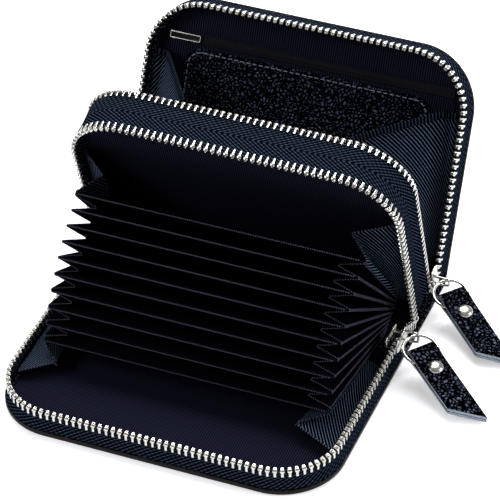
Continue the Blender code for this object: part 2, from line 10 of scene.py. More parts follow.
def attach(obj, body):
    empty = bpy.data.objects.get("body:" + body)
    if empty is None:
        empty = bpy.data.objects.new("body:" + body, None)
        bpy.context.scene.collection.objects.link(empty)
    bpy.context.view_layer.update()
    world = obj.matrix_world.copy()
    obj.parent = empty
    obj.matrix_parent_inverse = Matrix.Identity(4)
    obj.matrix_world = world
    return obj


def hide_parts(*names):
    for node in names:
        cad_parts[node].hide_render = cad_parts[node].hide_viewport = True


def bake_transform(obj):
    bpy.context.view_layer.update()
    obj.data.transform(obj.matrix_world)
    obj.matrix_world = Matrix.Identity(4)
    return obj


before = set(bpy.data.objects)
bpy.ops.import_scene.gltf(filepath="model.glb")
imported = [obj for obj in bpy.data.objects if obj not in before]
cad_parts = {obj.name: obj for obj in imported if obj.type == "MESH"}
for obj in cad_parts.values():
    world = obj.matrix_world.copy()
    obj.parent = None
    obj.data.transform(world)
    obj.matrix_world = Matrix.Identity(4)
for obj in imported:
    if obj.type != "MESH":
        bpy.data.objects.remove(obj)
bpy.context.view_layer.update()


# Front and back cover leather.
# Two flat sheets of cowhide pressed with a pebbled grain, 2 mm thick, with round corners. Their three free
# edges are pared, sealed with dark brown edge paint, and carry the zip tape all round.

MM = 0.001
TINY = 0.02 * MM
WALL_HALF = 55.6 * MM
WALL_DEPTH = 74.9 * MM
WALL_CORNER = 19.0 * MM
LEATHER = 2.0 * MM
LEATHER_REACH = 1.6 * MM
PARED_OUTSIDE = 0.8 * MM
PARED_INSIDE = 0.35 * MM
FOLD_MIDDLE = 1.0 * MM
COVER_START = 1.3 * MM
FRONT = (-18.75 * MM, FOLD_MIDDLE, 0.0)
BACK = (18.75 * MM, FOLD_MIDDLE, math.radians(117.1))


def only(*chosen):
    """Selects these pieces and nothing else, the first one active."""
    bpy.ops.object.select_all(action="DESELECT")
    for piece in chosen:
        piece.select_set(True)
    bpy.context.view_layer.objects.active = chosen[0]


def block(name, low, high):
    """A block between two corners, from which a piece is shaped."""
    low, high = Vector(low), Vector(high)
    bpy.ops.mesh.primitive_cube_add(size=1, location=(low + high) / 2, scale=high - low)
    piece = bpy.context.object
    piece.name = piece.data.name = name
    bpy.ops.object.transform_apply(location=True, rotation=True, scale=True)
    return piece


def editing(piece):
    only(piece)
    bpy.ops.object.mode_set(mode="EDIT")


def pick(piece, kind, wanted):
    """Selects, in edit mode, the edges or faces for which wanted(middle, direction, item) holds."""
    bpy.ops.mesh.select_mode(type=kind)
    bpy.ops.mesh.select_all(action="DESELECT")
    work = bmesh.from_edit_mesh(piece.data)
    work.normal_update()
    for item in work.edges if kind == "EDGE" else work.faces:
        if kind == "EDGE":
            middle = (item.verts[0].co + item.verts[1].co) / 2
            way = (item.verts[1].co - item.verts[0].co).normalized()
        else:
            middle, way = item.calc_center_median(), item.normal
        if wanted(middle, way, item):
            item.select_set(True)
    bmesh.update_edit_mesh(piece.data)


def bevel(piece, kind, wanted, width, steps):
    """Rounds the edges, or the borders of the faces, that pick would select."""
    pick(piece, kind, wanted)
    bpy.ops.mesh.bevel(offset=width, segments=steps)


def repaint(piece, wanted):
    """Gives the faces for which wanted holds the piece's second material."""
    pick(piece, "FACE", wanted)
    piece.active_material_index = 1
    bpy.ops.object.material_slot_assign()


def done(piece, angle=40):
    """Back to object mode, with faces outwards and soft edges smoothed."""
    bpy.ops.mesh.select_all(action="SELECT")
    bpy.ops.mesh.normals_make_consistent(inside=False)
    bpy.ops.object.mode_set(mode="OBJECT")
    bpy.ops.object.shade_smooth_by_angle(angle=math.radians(angle))


def settle(piece, panel):
    """Turns a piece drawn flat, in front of its fold line, up to its panel's place."""
    y, z, turn = panel
    piece.data.transform(Matrix.Translation((0.0, y, z)) @ Matrix.Rotation(-turn, 4, "X"))


def belong(piece, body, node=None):
    """The piece rides on a body and stands in for a node."""
    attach(piece, body)
    if node:
        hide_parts(node)


def hexed(code):
    """An sRGB colour such as 1A1C22 as linear red, green and blue, with full alpha."""
    levels = [int(code[k:k + 2], 16) / 255 for k in (0, 2, 4)]
    return tuple(v / 12.92 if v <= 0.04045 else ((v + 0.055) / 1.055) ** 2.4 for v in levels) + (1.0,)


def material(name, roughness, metallic=0.0, gloss=0.5):
    made = bpy.data.materials.new(name)
    made.use_nodes = True
    shader = made.node_tree.nodes["Principled BSDF"]
    shader.inputs["Roughness"].default_value = roughness
    shader.inputs["Specular IOR Level"].default_value = gloss
    shader.inputs["Metallic"].default_value = metallic
    return made


def add(made, kind, settings, inputs):
    """One node, with its settings, and each input set to a value or joined to an output."""
    node = made.node_tree.nodes.new("ShaderNode" + kind)
    for name, value in settings.items():
        setattr(node, name, value)
    for name, value in inputs.items():
        if isinstance(value, bpy.types.NodeSocket):
            made.node_tree.links.new(value, node.inputs[name])
        else:
            node.inputs[name].default_value = value
    return node


def feed(made, **inputs):
    """Joins outputs to the shader's sockets, whose names are written with _ for a space."""
    shader = made.node_tree.nodes["Principled BSDF"]
    for name, value in inputs.items():
        made.node_tree.links.new(value, shader.inputs[name.replace("_", " ")])


def ramp(made, factor, *stops):
    """Colours between stops of (place, hex colour)."""
    node = add(made, "ValToRGB", {}, {"Fac": factor})
    while len(node.color_ramp.elements) < len(stops):
        node.color_ramp.elements.new(0.5)
    for element, (place, code) in zip(node.color_ramp.elements, stops):
        element.position = place
        element.color = hexed(code)
    return node.outputs["Color"]


def noise(made, scale, **more):
    """Noise through the piece as it is drawn, with this many cells to the metre."""
    place = add(made, "TexCoord", {}, {}).outputs["Object"]
    return add(made, "TexNoise", {}, {"Vector": place, "Scale": scale, **more}).outputs["Fac"]


def mixed(made, blend, share, first, second):
    node = add(made, "MixRGB", {"blend_type": blend}, {"Fac": share, "Color1": first, "Color2": second})
    return node.outputs["Color"]


def ranged(made, value, way="LINEAR", **ends):
    """A value mapped from one range to another. The ends' names are written with _ for a space."""
    ends = {name.replace("_", " "): end for name, end in ends.items()}
    return add(made, "MapRange", {"interpolation_type": way}, {"Value": value, **ends}).outputs["Result"]


def bumps(made, height, depth, strength=1.0):
    """The shader's normals, as if the height stood this deep out of the surface."""
    node = add(made, "Bump", {}, {"Height": height, "Distance": depth, "Strength": strength})
    return node.outputs["Normal"]


def patterned(made, pattern, depth, strength, *stops):
    """Colours a material by a pattern and raises it by the same pattern."""
    feed(made, Base_Color=ramp(made, pattern, *stops), Normal=bumps(made, pattern, depth, strength))


# Full-grain cowhide, drum dyed black with a navy cast and pressed with a pebbled grain of about 1.2 mm.
# The tops of the pebbles are rubbed glossy and are painted a paler blue-grey as a painted highlight; the creases
# between them are dull and painted nearly black as painted shade.
pebbled = material("pebbled_cowhide", 0.5, gloss=0.22)
place = add(pebbled, "TexCoord", {}, {}).outputs["Object"]
wander = add(pebbled, "TexNoise", {}, {"Vector": place, "Scale": 420.0, "Detail": 3.0}).outputs["Color"]
bent = mixed(pebbled, "LINEAR_LIGHT", 0.0011, place, wander)
cells = add(pebbled, "TexVoronoi", {"feature": "DISTANCE_TO_EDGE"}, {"Vector": bent, "Scale": 820.0})
pebble = ranged(pebbled, cells.outputs["Distance"], "SMOOTHERSTEP", From_Max=0.34)
raised = mixed(pebbled, "ADD", 0.22, pebble, noise(pebbled, 5200.0, Detail=2.0))
# Base colour: painted shade, nearly black, in the creases and a painted blue-grey highlight on the pebble tops.
feed(pebbled, Base_Color=ramp(pebbled, pebble, (0.0, "010102"), (0.35, "05060A"), (1.0, "2E374C")),
     Specular_IOR_Level=ranged(pebbled, pebble, From_Min=0.3, To_Max=0.3),
     Roughness=ranged(pebbled, raised, To_Min=0.75, To_Max=0.34), Normal=bumps(pebbled, raised, 0.7 * MM))

# Water-based edge paint on cut leather: a dark brown, half-gloss coat, slightly lumpy along its length.
edge_paint = material("brown_edge_paint", 0.5, gloss=0.12)
patterned(edge_paint, noise(edge_paint, 900.0, Detail=3.0), 0.05 * MM, 1.0, (0.3, "090707"), (0.7, "1C110E"))

for label, panel, hand in (("front", FRONT, 1), ("back", BACK, -1)):
    half, depth = WALL_HALF + LEATHER_REACH, WALL_DEPTH + LEATHER_REACH
    sheet = block(label + "_cover_hide", (-half, -depth, -FOLD_MIDDLE), (half, 8 * MM, LEATHER - FOLD_MIDDLE))
    editing(sheet)
    bevel(sheet, "EDGE", lambda at, way, edge: abs(way.z) > 0.9 and at.y < 0, WALL_CORNER + LEATHER_REACH, 20)
    bevel(sheet, "FACE", lambda at, way, face: way.z < -0.9, PARED_OUTSIDE, 4)
    bevel(sheet, "FACE", lambda at, way, face: way.z > 0.9, PARED_INSIDE, 3)
    bpy.ops.mesh.select_all(action="SELECT")
    bpy.ops.mesh.bisect(plane_co=(0, -COVER_START, 0), plane_no=(0, 1, 0), use_fill=True, clear_outer=True)
    bpy.ops.mesh.select_all(action="SELECT")
    bpy.ops.transform.resize(value=(1, 1, hand))
    sheet.data.materials.append(pebbled)
    sheet.data.materials.append(edge_paint)
    repaint(sheet, lambda at, way, face: abs(way.z) < 0.8 and at.y < -COVER_START - TINY)
    done(sheet)
    settle(sheet, panel)
    belong(sheet, label + "_cover", label + "_cover_leather")


# Spine leather.
# The same hide runs on between the covers as one skin. It lies flat under the spine, goes straight on into
# the front cover, and turns up in a soft bend into the back cover.

BEND = 2.0 * MM
SPINE_EDGE = 0.5 * MM
BACK_RISE = math.pi - BACK[2]
back_reach = BEND * math.tan(BACK_RISE / 2)
spine_half = WALL_HALF + LEATHER_REACH


def cut(y):
    """Cuts the whole piece in edit mode into rings at this y."""
    bpy.ops.mesh.select_all(action="SELECT")
    bpy.ops.mesh.bisect(plane_co=(0, y, 0), plane_no=(0, 1, 0))


spine_front = block("spine_hide_front", (-spine_half, FRONT[0] - COVER_START, 0), (spine_half, 0, LEATHER))
editing(spine_front)
for step in range(1, 9):
    cut(FRONT[0] - COVER_START + step * 0.5 * MM)
bevel(spine_front, "EDGE", lambda at, way, edge: abs(at.x) > spine_half - TINY and abs(way.y) > 0.9, SPINE_EDGE, 3)
done(spine_front)

spine_back = block("spine_hide_back", (-spine_half, 0, 0), (spine_half, BACK[0] - back_reach, LEATHER))
editing(spine_back)
pick(spine_back, "FACE", lambda at, way, face: way.y > 0.9)
bpy.ops.mesh.spin(steps=8, angle=-BACK_RISE, center=(0, BACK[0] - back_reach, FOLD_MIDDLE + BEND), axis=(1, 0, 0))
rest = COVER_START - back_reach
bpy.ops.mesh.extrude_region_move(TRANSFORM_OT_translate={
    "value": (0, rest * math.cos(BACK_RISE), rest * math.sin(BACK_RISE))})
bpy.ops.mesh.select_all(action="SELECT")
bpy.ops.mesh.remove_doubles(threshold=TINY)
bevel(spine_back, "EDGE", lambda at, way, edge: abs(at.x) > spine_half - TINY and abs(way.x) < 0.1
      and edge.calc_face_angle(0.0) > 0.8, SPINE_EDGE, 3)
done(spine_back)

for skin in (spine_front, spine_back):
    skin.data.materials.append(pebbled)
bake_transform(spine_front)
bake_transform(spine_back)
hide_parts("spine_leather")


# Lining of the covers and the spine.
# A ribbed polyester lining, glued flat over the inside of the leather and caught under the zip tape.

LINING = 0.5 * MM
LINING_INSET = 1.2 * MM
CLEAR = 0.3 * MM
LINING_LOW = LEATHER - FOLD_MIDDLE + CLEAR
SPINE_INSET_X = 3.6 * MM
SPINE_INSET_Y = 2.4 * MM
SOFT_EDGE = 0.12 * MM


def unwrap_flat(piece):
    """A cloth map in metres, as the piece is drawn flat: across the fold line, and out from it."""
    layer = piece.data.uv_layers.new(name="cloth")
    for loop in piece.data.loops:
        at = piece.data.vertices[loop.vertex_index].co
        layer.data[loop.index].uv = (at.x, at.y)


def board(name, half, near, far, low, high, corner, finish, segments=10, soft=SOFT_EDGE):
    """A thin flat sheet with two round far corners and softened edges, drawn flat."""
    piece = block(name, (-half, -far, low), (half, -near, high))
    editing(piece)
    bevel(piece, "EDGE", lambda at, way, edge: abs(way.z) > 0.9 and at.y < -(near + far) / 2, corner, segments)
    bevel(piece, "FACE", lambda at, way, face: abs(way.z) > 0.9, soft, 2)
    done(piece)
    unwrap_flat(piece)
    piece.data.materials.append(finish)
    return piece


def wave(made, way, spacing, distortion=0.0, blur=1.0, cloth=None):
    """Ridges this far apart, one after the other along X or Y of the cloth map."""
    cloth = cloth or add(made, "UVMap", {"uv_map": "cloth"}, {}).outputs["UV"]
    return add(made, "TexWave", {"bands_direction": way},
               {"Vector": cloth, "Scale": math.pi / 10 / spacing, "Distortion": distortion,
                "Detail Scale": blur}).outputs["Fac"]


# Ribbed polyester lining: dull navy-black ribs about 0.8 mm apart, their tops painted a paler violet as a painted
# highlight.
ribbed = material("ribbed_polyester_lining", 0.8, gloss=0.0)
woven = mixed(ribbed, "ADD", 0.3, wave(ribbed, "X", 0.8 * MM, 0.6, 2.0), wave(ribbed, "Y", 0.45 * MM, 0.8, 3.0))
patterned(ribbed, woven, 0.1 * MM, 0.8, (0.1, "020204"), (0.6, "0A0B13"), (1.0, "232434"))

for label, panel, hand in (("front", FRONT, 1), ("back", BACK, -1)):
    inset = LINING_INSET
    lining = board(label + "_cover_lining_cloth", WALL_HALF - inset, COVER_START + inset, WALL_DEPTH - inset,
                   *sorted((hand * LINING_LOW, hand * (LINING_LOW + LINING))), WALL_CORNER - inset, ribbed, 16)
    settle(lining, panel)
    belong(lining, label + "_cover", label + "_cover_lining")

half = WALL_HALF - SPINE_INSET_X
spine_cloth = block("spine_lining_cloth", (-half, FRONT[0] + SPINE_INSET_Y, LEATHER + CLEAR),
                    (half, BACK[0] - SPINE_INSET_Y, LEATHER + CLEAR + LINING))
editing(spine_cloth)
bevel(spine_cloth, "FACE", lambda at, way, face: abs(way.z) > 0.9, SOFT_EDGE, 2)
done(spine_cloth)
unwrap_flat(spine_cloth)
spine_cloth.data.materials.append(ribbed)
belong(spine_cloth, "spine", "spine_lining")


# Zip tapes.
# Woven polyester tape about 6 mm high in front of the seam, with a cord along its edge that the teeth grip.
# One stands round each cover, and two are sewn back to back round the divider.

TAPE = 0.6 * MM
TAPE_START = 3.0 * MM
COVER_TIP = 8.9 * MM
DIVIDER_TIP = 8.2 * MM
DIVIDER_DEPTH = 72.3 * MM
DIVIDER = (0.0, 4.2 * MM, math.radians(74.5))
TAPE_UNDER_TIP = 1.7 * MM
CORD_THICK = 1.0 * MM
SEAM_HALF = 0.1 * MM
TAPE_FLARE = 1.0 * MM


def wall_line(depth):
    """The line of a zip round a panel, drawn flat: (x, y) points from left to right, about 1.5 mm apart."""
    straight = depth - WALL_CORNER
    points = [Vector((-WALL_HALF, -TAPE_START - k * (straight - TAPE_START) / 30)) for k in range(30)]
    for turn in (0.5 * math.pi * k / 20 for k in range(21)):
        points.append(Vector((-WALL_HALF + WALL_CORNER * (1 - math.cos(turn)),
                              -straight - WALL_CORNER * math.sin(turn))))
    points += [Vector(((WALL_HALF - WALL_CORNER) * (k / 24 - 1), -depth)) for k in range(1, 25)]
    return points + [Vector((-at.x, at.y)) for at in reversed(points[:-1])]


def along_line(line, distance):
    """The point at this distance along a line, and the line's direction there."""
    for a, b in zip(line, line[1:]):
        length = (b - a).length
        if distance <= length:
            return a + (b - a) * (distance / length), (b - a).normalized()
        distance -= length
    return line[-1], (line[-1] - line[-2]).normalized()


def line_length(line):
    return sum((b - a).length for a, b in zip(line, line[1:]))


def put(name, data):
    """A new object in the scene, selected."""
    made = bpy.data.objects.new(name, data)
    bpy.context.scene.collection.objects.link(made)
    only(made)
    return made


def meshed(name, work, angle):
    """A piece from a bmesh, its faces turned outwards and its soft edges smoothed."""
    bmesh.ops.recalc_face_normals(work, faces=work.faces)
    mesh = bpy.data.meshes.new(name)
    work.to_mesh(mesh)
    work.free()
    piece = put(name, mesh)
    bpy.ops.object.shade_smooth_by_angle(angle=math.radians(angle))
    return piece


def tape_wall(name, depth, low, high, cord_at, flare, slant):
    """The tape's cross-section, with its edge cord and its foot leaning out by flare, run along the zip's line.
    The weave slants one way or the other."""
    line = wall_line(depth)
    t, c = 0.5 * TAPE, 0.5 * CORD_THICK
    way = 1 if high > low else -1
    foot = [(share * flare, low + way * up * MM) for share, up in ((1.0, 0.0), (0.85, 0.7), (0.4, 1.8), (0.0, 3.2))]
    head = [(t, cord_at - way * c), (0.85 * c, cord_at - way * 0.6 * c), (c, cord_at),
            (0.7 * c, cord_at + way * 0.7 * c)]
    section = [(lean - t, height) for lean, height in foot] + [(-s, height) for s, height in head] + [(0, high)]
    section += list(reversed(head)) + [(lean + t, height) for lean, height in reversed(foot)]
    work = bmesh.new()
    layer = work.loops.layers.uv.new("cloth")
    rows, run, before = [], 0.0, line[0]
    for k, at in enumerate(line):
        ahead = (line[min(k + 1, len(line) - 1)] - line[max(k - 1, 0)]).normalized()
        out = Vector((ahead.y, -ahead.x))
        run += (at - before).length
        before = at
        rows.append([(work.verts.new((at.x + s * out.x, at.y + s * out.y, h)), run, h) for s, h in section])
    for a, b in zip(rows, rows[1:]):
        for k in range(len(section)):
            n = (k + 1) % len(section)
            around = (a[k], a[n], b[n], b[k])
            face = work.faces.new([corner[0] for corner in around])
            for loop, (_, run, height) in zip(face.loops, around):
                loop[layer].uv = (run, slant * height)
    for row in (rows[0], rows[-1]):
        work.faces.new([corner[0] for corner in row])
    return meshed(name, work, 50)


# Woven zip tape: matt black-navy polyester twill whose ridges, painted paler along their tops as a painted highlight,
# slant across the tape. They are about 1 mm apart, which is coarser than the real ones so that they show.
tape_cloth = material("woven_polyester_tape", 0.85, gloss=0.0)
cloth = add(tape_cloth, "UVMap", {"uv_map": "cloth"}, {}).outputs["UV"]
parts = add(tape_cloth, "SeparateXYZ", {}, {"Vector": cloth}).outputs
slant = add(tape_cloth, "Math", {"operation": "MULTIPLY_ADD"}, {0: parts["Y"], 1: 1.7, 2: parts["X"]})
slanted = add(tape_cloth, "CombineXYZ", {}, {"X": slant.outputs["Value"], "Y": parts["Y"]}).outputs["Vector"]
woven = mixed(tape_cloth, "MULTIPLY", 0.4, wave(tape_cloth, "X", 1.9 * MM, 0.7, 2.0, slanted),
              wave(tape_cloth, "Y", 0.7 * MM, 1.5, 3.0))
patterned(tape_cloth, woven, 0.15 * MM, 0.9, (0.2, "05080D"), (0.6, "111721"), (1.0, "404B5D"))

# Each zip: its name's two halves, panel, depth, the side it stands on, its tip's height, and its body.
ZIPS = (("front_cover_", "", FRONT, WALL_DEPTH, 1, COVER_TIP, "front_cover"),
        ("back_cover_", "", BACK, WALL_DEPTH, -1, COVER_TIP, "back_cover"),
        ("divider_", "_front", DIVIDER, DIVIDER_DEPTH, -1, DIVIDER_TIP, "divider"),
        ("divider_", "_rear", DIVIDER, DIVIDER_DEPTH, 1, DIVIDER_TIP, "divider"))
for first, last, panel, depth, hand, tip, body in ZIPS:
    name = first + "tape" + last
    on_cover = body != "divider"
    low = LINING_LOW if on_cover else SEAM_HALF
    high = tip - TAPE_UNDER_TIP + 0.5 * CORD_THICK
    tape = tape_wall(name + "_cloth", depth, hand * low, hand * high, hand * (tip - TAPE_UNDER_TIP),
                     TAPE_FLARE if on_cover else 0.0, -hand)
    tape.data.materials.append(tape_cloth)
    settle(tape, panel)
    belong(tape, body, name)


# Zip teeth.
# Nickel-plated brass teeth, each pinched over the tape's cord by two narrow legs under a wider rounded head
# with a cup in it. About 88 to a row, 2.25 mm apart.

TOOTH_PITCH = 2.25 * MM
TOOTH_LEG = 0.82 * MM
TOOTH_HEAD = 1.5 * MM
TOOTH_ACROSS = 1.9 * MM
TOOTH_TALL = 2.75 * MM
TOOTH_NECK = 1.25 * MM
TOOTH_SHOULDER = 0.34 * MM
TOOTH_BROW = 0.45 * MM


def pull(height, x=1.0, y=1.0):
    """Pulls the chosen faces up by height and makes them this much wider or narrower."""
    bpy.ops.mesh.extrude_region_move(TRANSFORM_OT_translate={"value": (0, 0, height)})
    bpy.ops.transform.resize(value=(x, y, 1))


tooth = block("tooth", (-0.5 * TOOTH_LEG, -0.5 * TOOTH_ACROSS, -TOOTH_TALL),
              (0.5 * TOOTH_LEG, 0.5 * TOOTH_ACROSS, -TOOTH_NECK))
editing(tooth)
pick(tooth, "FACE", lambda at, way, face: way.z > 0.9)
pull(TOOTH_SHOULDER, TOOTH_HEAD / TOOTH_LEG)
pull(TOOTH_BROW, 0.98, 0.9)
pull(TOOTH_NECK - TOOTH_SHOULDER - TOOTH_BROW, 0.6, 0.62)
bpy.ops.mesh.inset(thickness=0.22 * MM)
pull(-0.4 * MM, 0.5, 0.5)
bevel(tooth, "EDGE", lambda at, way, edge: edge.calc_face_angle(0.0) > 0.35
      and -TOOTH_TALL + TINY < at.z < -0.05 * MM, 0.12 * MM, 1)
done(tooth, 45)

# Nickel plating on brass, tumbled bright: pale, slightly warm, glossy, with faint rubbing marks.
bright_nickel = material("bright_nickel_plate", 0.2, 1.0)
rubbed = noise(bright_nickel, 1600.0, Detail=4.0)
feed(bright_nickel, Base_Color=ramp(bright_nickel, rubbed, (0.3, "A6A49E"), (0.7, "CCCAC4")),
     Roughness=ranged(bright_nickel, rubbed, To_Min=0.14, To_Max=0.32))
tooth.data.materials.append(bright_nickel)


def stations(line, runs, height):
    """The places at these distances along a line drawn flat, each turned to follow it."""
    places = []
    for run in runs:
        at, ahead = along_line(line, run)
        turned = Matrix.Rotation(math.atan2(ahead.y, ahead.x), 4, "Z")
        places.append(Matrix.Translation((at.x, at.y, height)) @ turned)
    return places


def copied(piece, places, name):
    """Copies of a piece, one at each of the places, joined to one piece."""
    copies = [bpy.data.objects.new(name, piece.data.copy()) for _ in places]
    for copy, place in zip(copies, places):
        copy.data.transform(place)
        bpy.context.scene.collection.objects.link(copy)
    only(*copies)
    bpy.ops.object.join()
    copies[0].name = copies[0].data.name = name
    return copies[0]


for first, last, panel, depth, hand, tip, body in ZIPS:
    name = first + "teeth" + last
    line = wall_line(depth)
    count = int(line_length(line) / TOOTH_PITCH)
    spare = line_length(line) - (count - 1) * TOOTH_PITCH
    upright = Matrix.Rotation(0.0 if hand > 0 else math.pi, 4, "X")
    runs = [spare / 2 + k * TOOTH_PITCH for k in range(count)]
    row = copied(tooth, [place @ upright for place in stations(line, runs, hand * tip)], name + "_metal")
    settle(row, panel)
    belong(row, body, name)


# Divider.
# A stiffened panel covered in the lining cloth, sewn between the two zip tapes, which it keeps upright.

PANEL_INSET = 1.0 * MM
PANEL_HALF_THICK = 1.0 * MM
PANEL_SOFT = 0.3 * MM
divider = board("divider_panel_cloth", WALL_HALF - PANEL_INSET, -0.6 * MM, DIVIDER_DEPTH - PANEL_INSET,
                -PANEL_HALF_THICK, PANEL_HALF_THICK, WALL_CORNER - PANEL_INSET, ribbed, 16, PANEL_SOFT)
settle(divider, DIVIDER)
belong(divider, "divider", "divider_panel")


# Card leaves.
# Ten stiff leaves of satin lining cloth over card, fanned between the divider and the front cover, each with
# a narrow hem along its top edge. They are sewn together along the spine in a flat root.

LEAVES = [(-3.75, 8.76, 52.1), (-5.05, 8.62, 47.44), (-6.35, 8.39, 42.79), (-7.65, 8.08, 38.13),
          (-8.95, 7.68, 33.48), (-10.25, 7.20, 28.82), (-11.55, 6.63, 24.17), (-12.85, 5.97, 19.51),
          (-14.15, 5.23, 14.86), (-15.45, 4.40, 10.2)]
LEAVES = [(y * MM, z * MM, math.radians(turn)) for y, z, turn in LEAVES]
LEAF_HALF = 48.3 * MM
LEAF_NEAR = -0.28 * MM
LEAF_LONG = 52.5 * MM
LEAF_THICK = 0.7 * MM
LEAF_SOFT = 0.15 * MM
LEAF_HEM = 0.05 * MM
ROOT_UNDER = 0.47 * MM
ROOT_BEYOND = 0.45 * MM
ROOT_INSET = 0.25 * MM


def raise_hem(piece, height, wanted):
    """Gives the faces for which wanted holds the second material, and raises them as turned cloth lies."""
    editing(piece)
    repaint(piece, wanted)
    bpy.ops.mesh.extrude_region_shrink_fatten(TRANSFORM_OT_shrink_fatten={"value": height})
    bpy.ops.object.mode_set(mode="OBJECT")


# Satin polyester over card: nearly black, smooth, with a faint cross grain and a soft sheen.
leaf_cloth = material("satin_polyester_leaf", 0.8, gloss=0.0)
patterned(leaf_cloth, wave(leaf_cloth, "Y", 0.7 * MM, 1.2, 2.0), 0.05 * MM, 0.7, (0.0, "030305"), (1.0, "0B0B12"))
# The hems are turned and stitched with a paler violet-grey thread, which shows as a fine stippled line.
binding = material("stitched_hem", 0.8, gloss=0.0)
patterned(binding, wave(binding, "X", 0.8 * MM, 1.0, 3.0), 0.08 * MM, 0.8, (0.2, "08080C"), (0.75, "24242F"),
          (1.0, "5A5A6C"))

for k, panel in enumerate(LEAVES):
    leaf = board(f"leaf_{k + 1}_cloth", LEAF_HALF, LEAF_NEAR, LEAF_LONG, -LEAF_THICK / 2, LEAF_THICK / 2,
                 0.7 * MM, leaf_cloth, 3, LEAF_SOFT)
    leaf.data.materials.append(binding)
    raise_hem(leaf, LEAF_HEM, lambda at, way, face: way.y < -0.6 and abs(way.z) < 0.3)
    settle(leaf, panel)
    belong(leaf, f"leaf_{k + 1}_body", f"leaf_{k + 1}")

root_points = [(y, z - ROOT_UNDER) for y, z, _ in reversed(LEAVES)]
root_low = LEATHER + 2 * CLEAR + LINING
root = block("leaf_root_seam", (-LEAF_HALF + ROOT_INSET, root_points[0][0] - ROOT_BEYOND, root_low),
             (LEAF_HALF - ROOT_INSET, root_points[-1][0] + ROOT_BEYOND, root_low + 1.0 * MM))
editing(root)
for y, _ in root_points:
    cut(y)
work = bmesh.from_edit_mesh(root.data)
for corner in work.verts:
    if corner.co.z > root_low + 0.5 * MM:
        corner.co.z = min(root_points, key=lambda point: abs(point[0] - corner.co.y))[1]
bmesh.update_edit_mesh(root.data)
done(root)
unwrap_flat(root)
root.data.materials.append(leaf_cloth)
belong(root, "spine", "leaf_root")


# Folded gussets.
# Polyester twill panels close the sides: a deep zig-zag between the leaves, and one inward fold each between
# the leaves, the divider and the covers. Each is cut flat, hemmed along its top edge and sewn in.

GUSSET_WALL_X = 54.2 * MM
LEAF_EDGE_X = LEAF_HALF + 0.6 * MM
RIDGE_X = LEAF_HALF + 0.55 * MM
GUSSET = 0.3 * MM
BACK_HEM = 2.2 * MM
BACK_HEM_RAISED = 0.15 * MM
FOLD_HALF = 0.4 * MM
FOLD_INWARD = 0.35 * MM
FOLD_FOOT = 47.0 * MM
DIVIDER_FOLD_FOOT = 47.8 * MM
LEAF_SEAM_UP = 1.8 * MM
DIVIDER_SEAM_UP = 3.0 * MM
COVER_SEAM_UP = 4.6 * MM
PLEAT_FROM = 0.4 * MM
PLEAT_DEEPENS = 7.0 * MM
PLEAT_FULL = 23.0 * MM
PLEAT_TO = 50.5 * MM
PLEAT_STEPS = 14
PLEAT_SHALLOW = 0.6 * MM
PLEAT_DEEP = 7.4 * MM
PLEAT_RIDGE_HALF = 0.32 * MM
PLEAT_RIDGE_OUT = 0.2 * MM
THREAD = 0.4 * MM


def in_world(panel, x, along, height):
    """A point on an opened panel: across it, out from its fold line, and above it."""
    y, z, turn = panel
    return Vector((x, y - along * math.cos(turn) + height * math.sin(turn),
                   z + along * math.sin(turn) + height * math.cos(turn)))


def part_way(value, start, end):
    """0 before start, 1 past end, and the share of the way between them."""
    return min(max((value - start) / (end - start), 0.0), 1.0)


def eased(share):
    return share * share * (3 - 2 * share)


# Polyester twill: a black ground with ridges 0.9 mm apart, painted steel-blue along their tops as a painted
# highlight, cut on the bias.
twill = material("polyester_twill", 0.8, gloss=0.0)
woven = mixed(twill, "MULTIPLY", 0.2, wave(twill, "X", 0.9 * MM, 0.25, 2.0), wave(twill, "Y", 0.5 * MM, 0.4))
patterned(twill, woven, 0.12 * MM, 0.9, (0.4, "020304"), (0.75, "19212E"), (1.0, "68788F"))
# The back gusset's hem is a folded band 2.2 mm deep, ribbed across, the ribs' tops painted paler as a painted
# highlight.
ribbed_hem = material("ribbed_gusset_hem", 0.8, gloss=0.0)
patterned(ribbed_hem, wave(ribbed_hem, "X", 0.9 * MM, 0.8, 2.0), 0.1 * MM, 0.8, (0.3, "030407"), (0.75, "0F151E"),
          (1.0, "2A343F"))


def cloth_grid(name, rows, thickness, finish, bias=0.0, hem_rows=0, caps=0):
    """A thin closed sheet through rows of points. Its cloth map is measured along and up the rows and turned
    by bias. The last hem_rows rows, and caps faces at both ends of a row, have the hem's finish."""
    work = bmesh.new()
    layer = work.loops.layers.uv.new("cloth")
    wide = len(rows[0])
    points = [[work.verts.new(at) for at in row] for row in rows]
    middle = rows[len(rows) // 2]
    u, v = [0.0], [0.0]
    for a, b in zip(middle, middle[1:]):
        u.append(u[-1] + (b - a).length)
    for a, b in zip(rows, rows[1:]):
        v.append(v[-1] + (b[0] - a[0]).length)
    for i in range(len(rows) - 1):
        for j in range(wide - 1):
            around = ((i, j), (i, j + 1), (i + 1, j + 1), (i + 1, j))
            face = work.faces.new([points[a][b] for a, b in around])
            cap = j < caps or j >= wide - 1 - caps
            hem = cap or i >= len(rows) - 1 - hem_rows
            face.material_index = int(hem)
            slant = 0.0 if hem else bias
            for loop, (a, b) in zip(face.loops, around):
                across, up = (v[a], u[b]) if cap else (u[b], v[a])
                loop[layer].uv = (across * math.cos(slant) - up * math.sin(slant),
                                  across * math.sin(slant) + up * math.cos(slant))
    mesh = bpy.data.meshes.new(name)
    work.to_mesh(mesh)
    work.free()
    mesh.materials.append(finish)
    mesh.materials.append(binding)
    piece = put(name, mesh)
    thick = piece.modifiers.new("thickness", "SOLIDIFY")
    thick.thickness = thickness
    thick.offset = 0.0
    thick.use_even_offset = True
    bpy.ops.object.modifier_apply(modifier=thick.name)
    bpy.ops.object.shade_smooth_by_angle(angle=math.radians(35))
    return piece
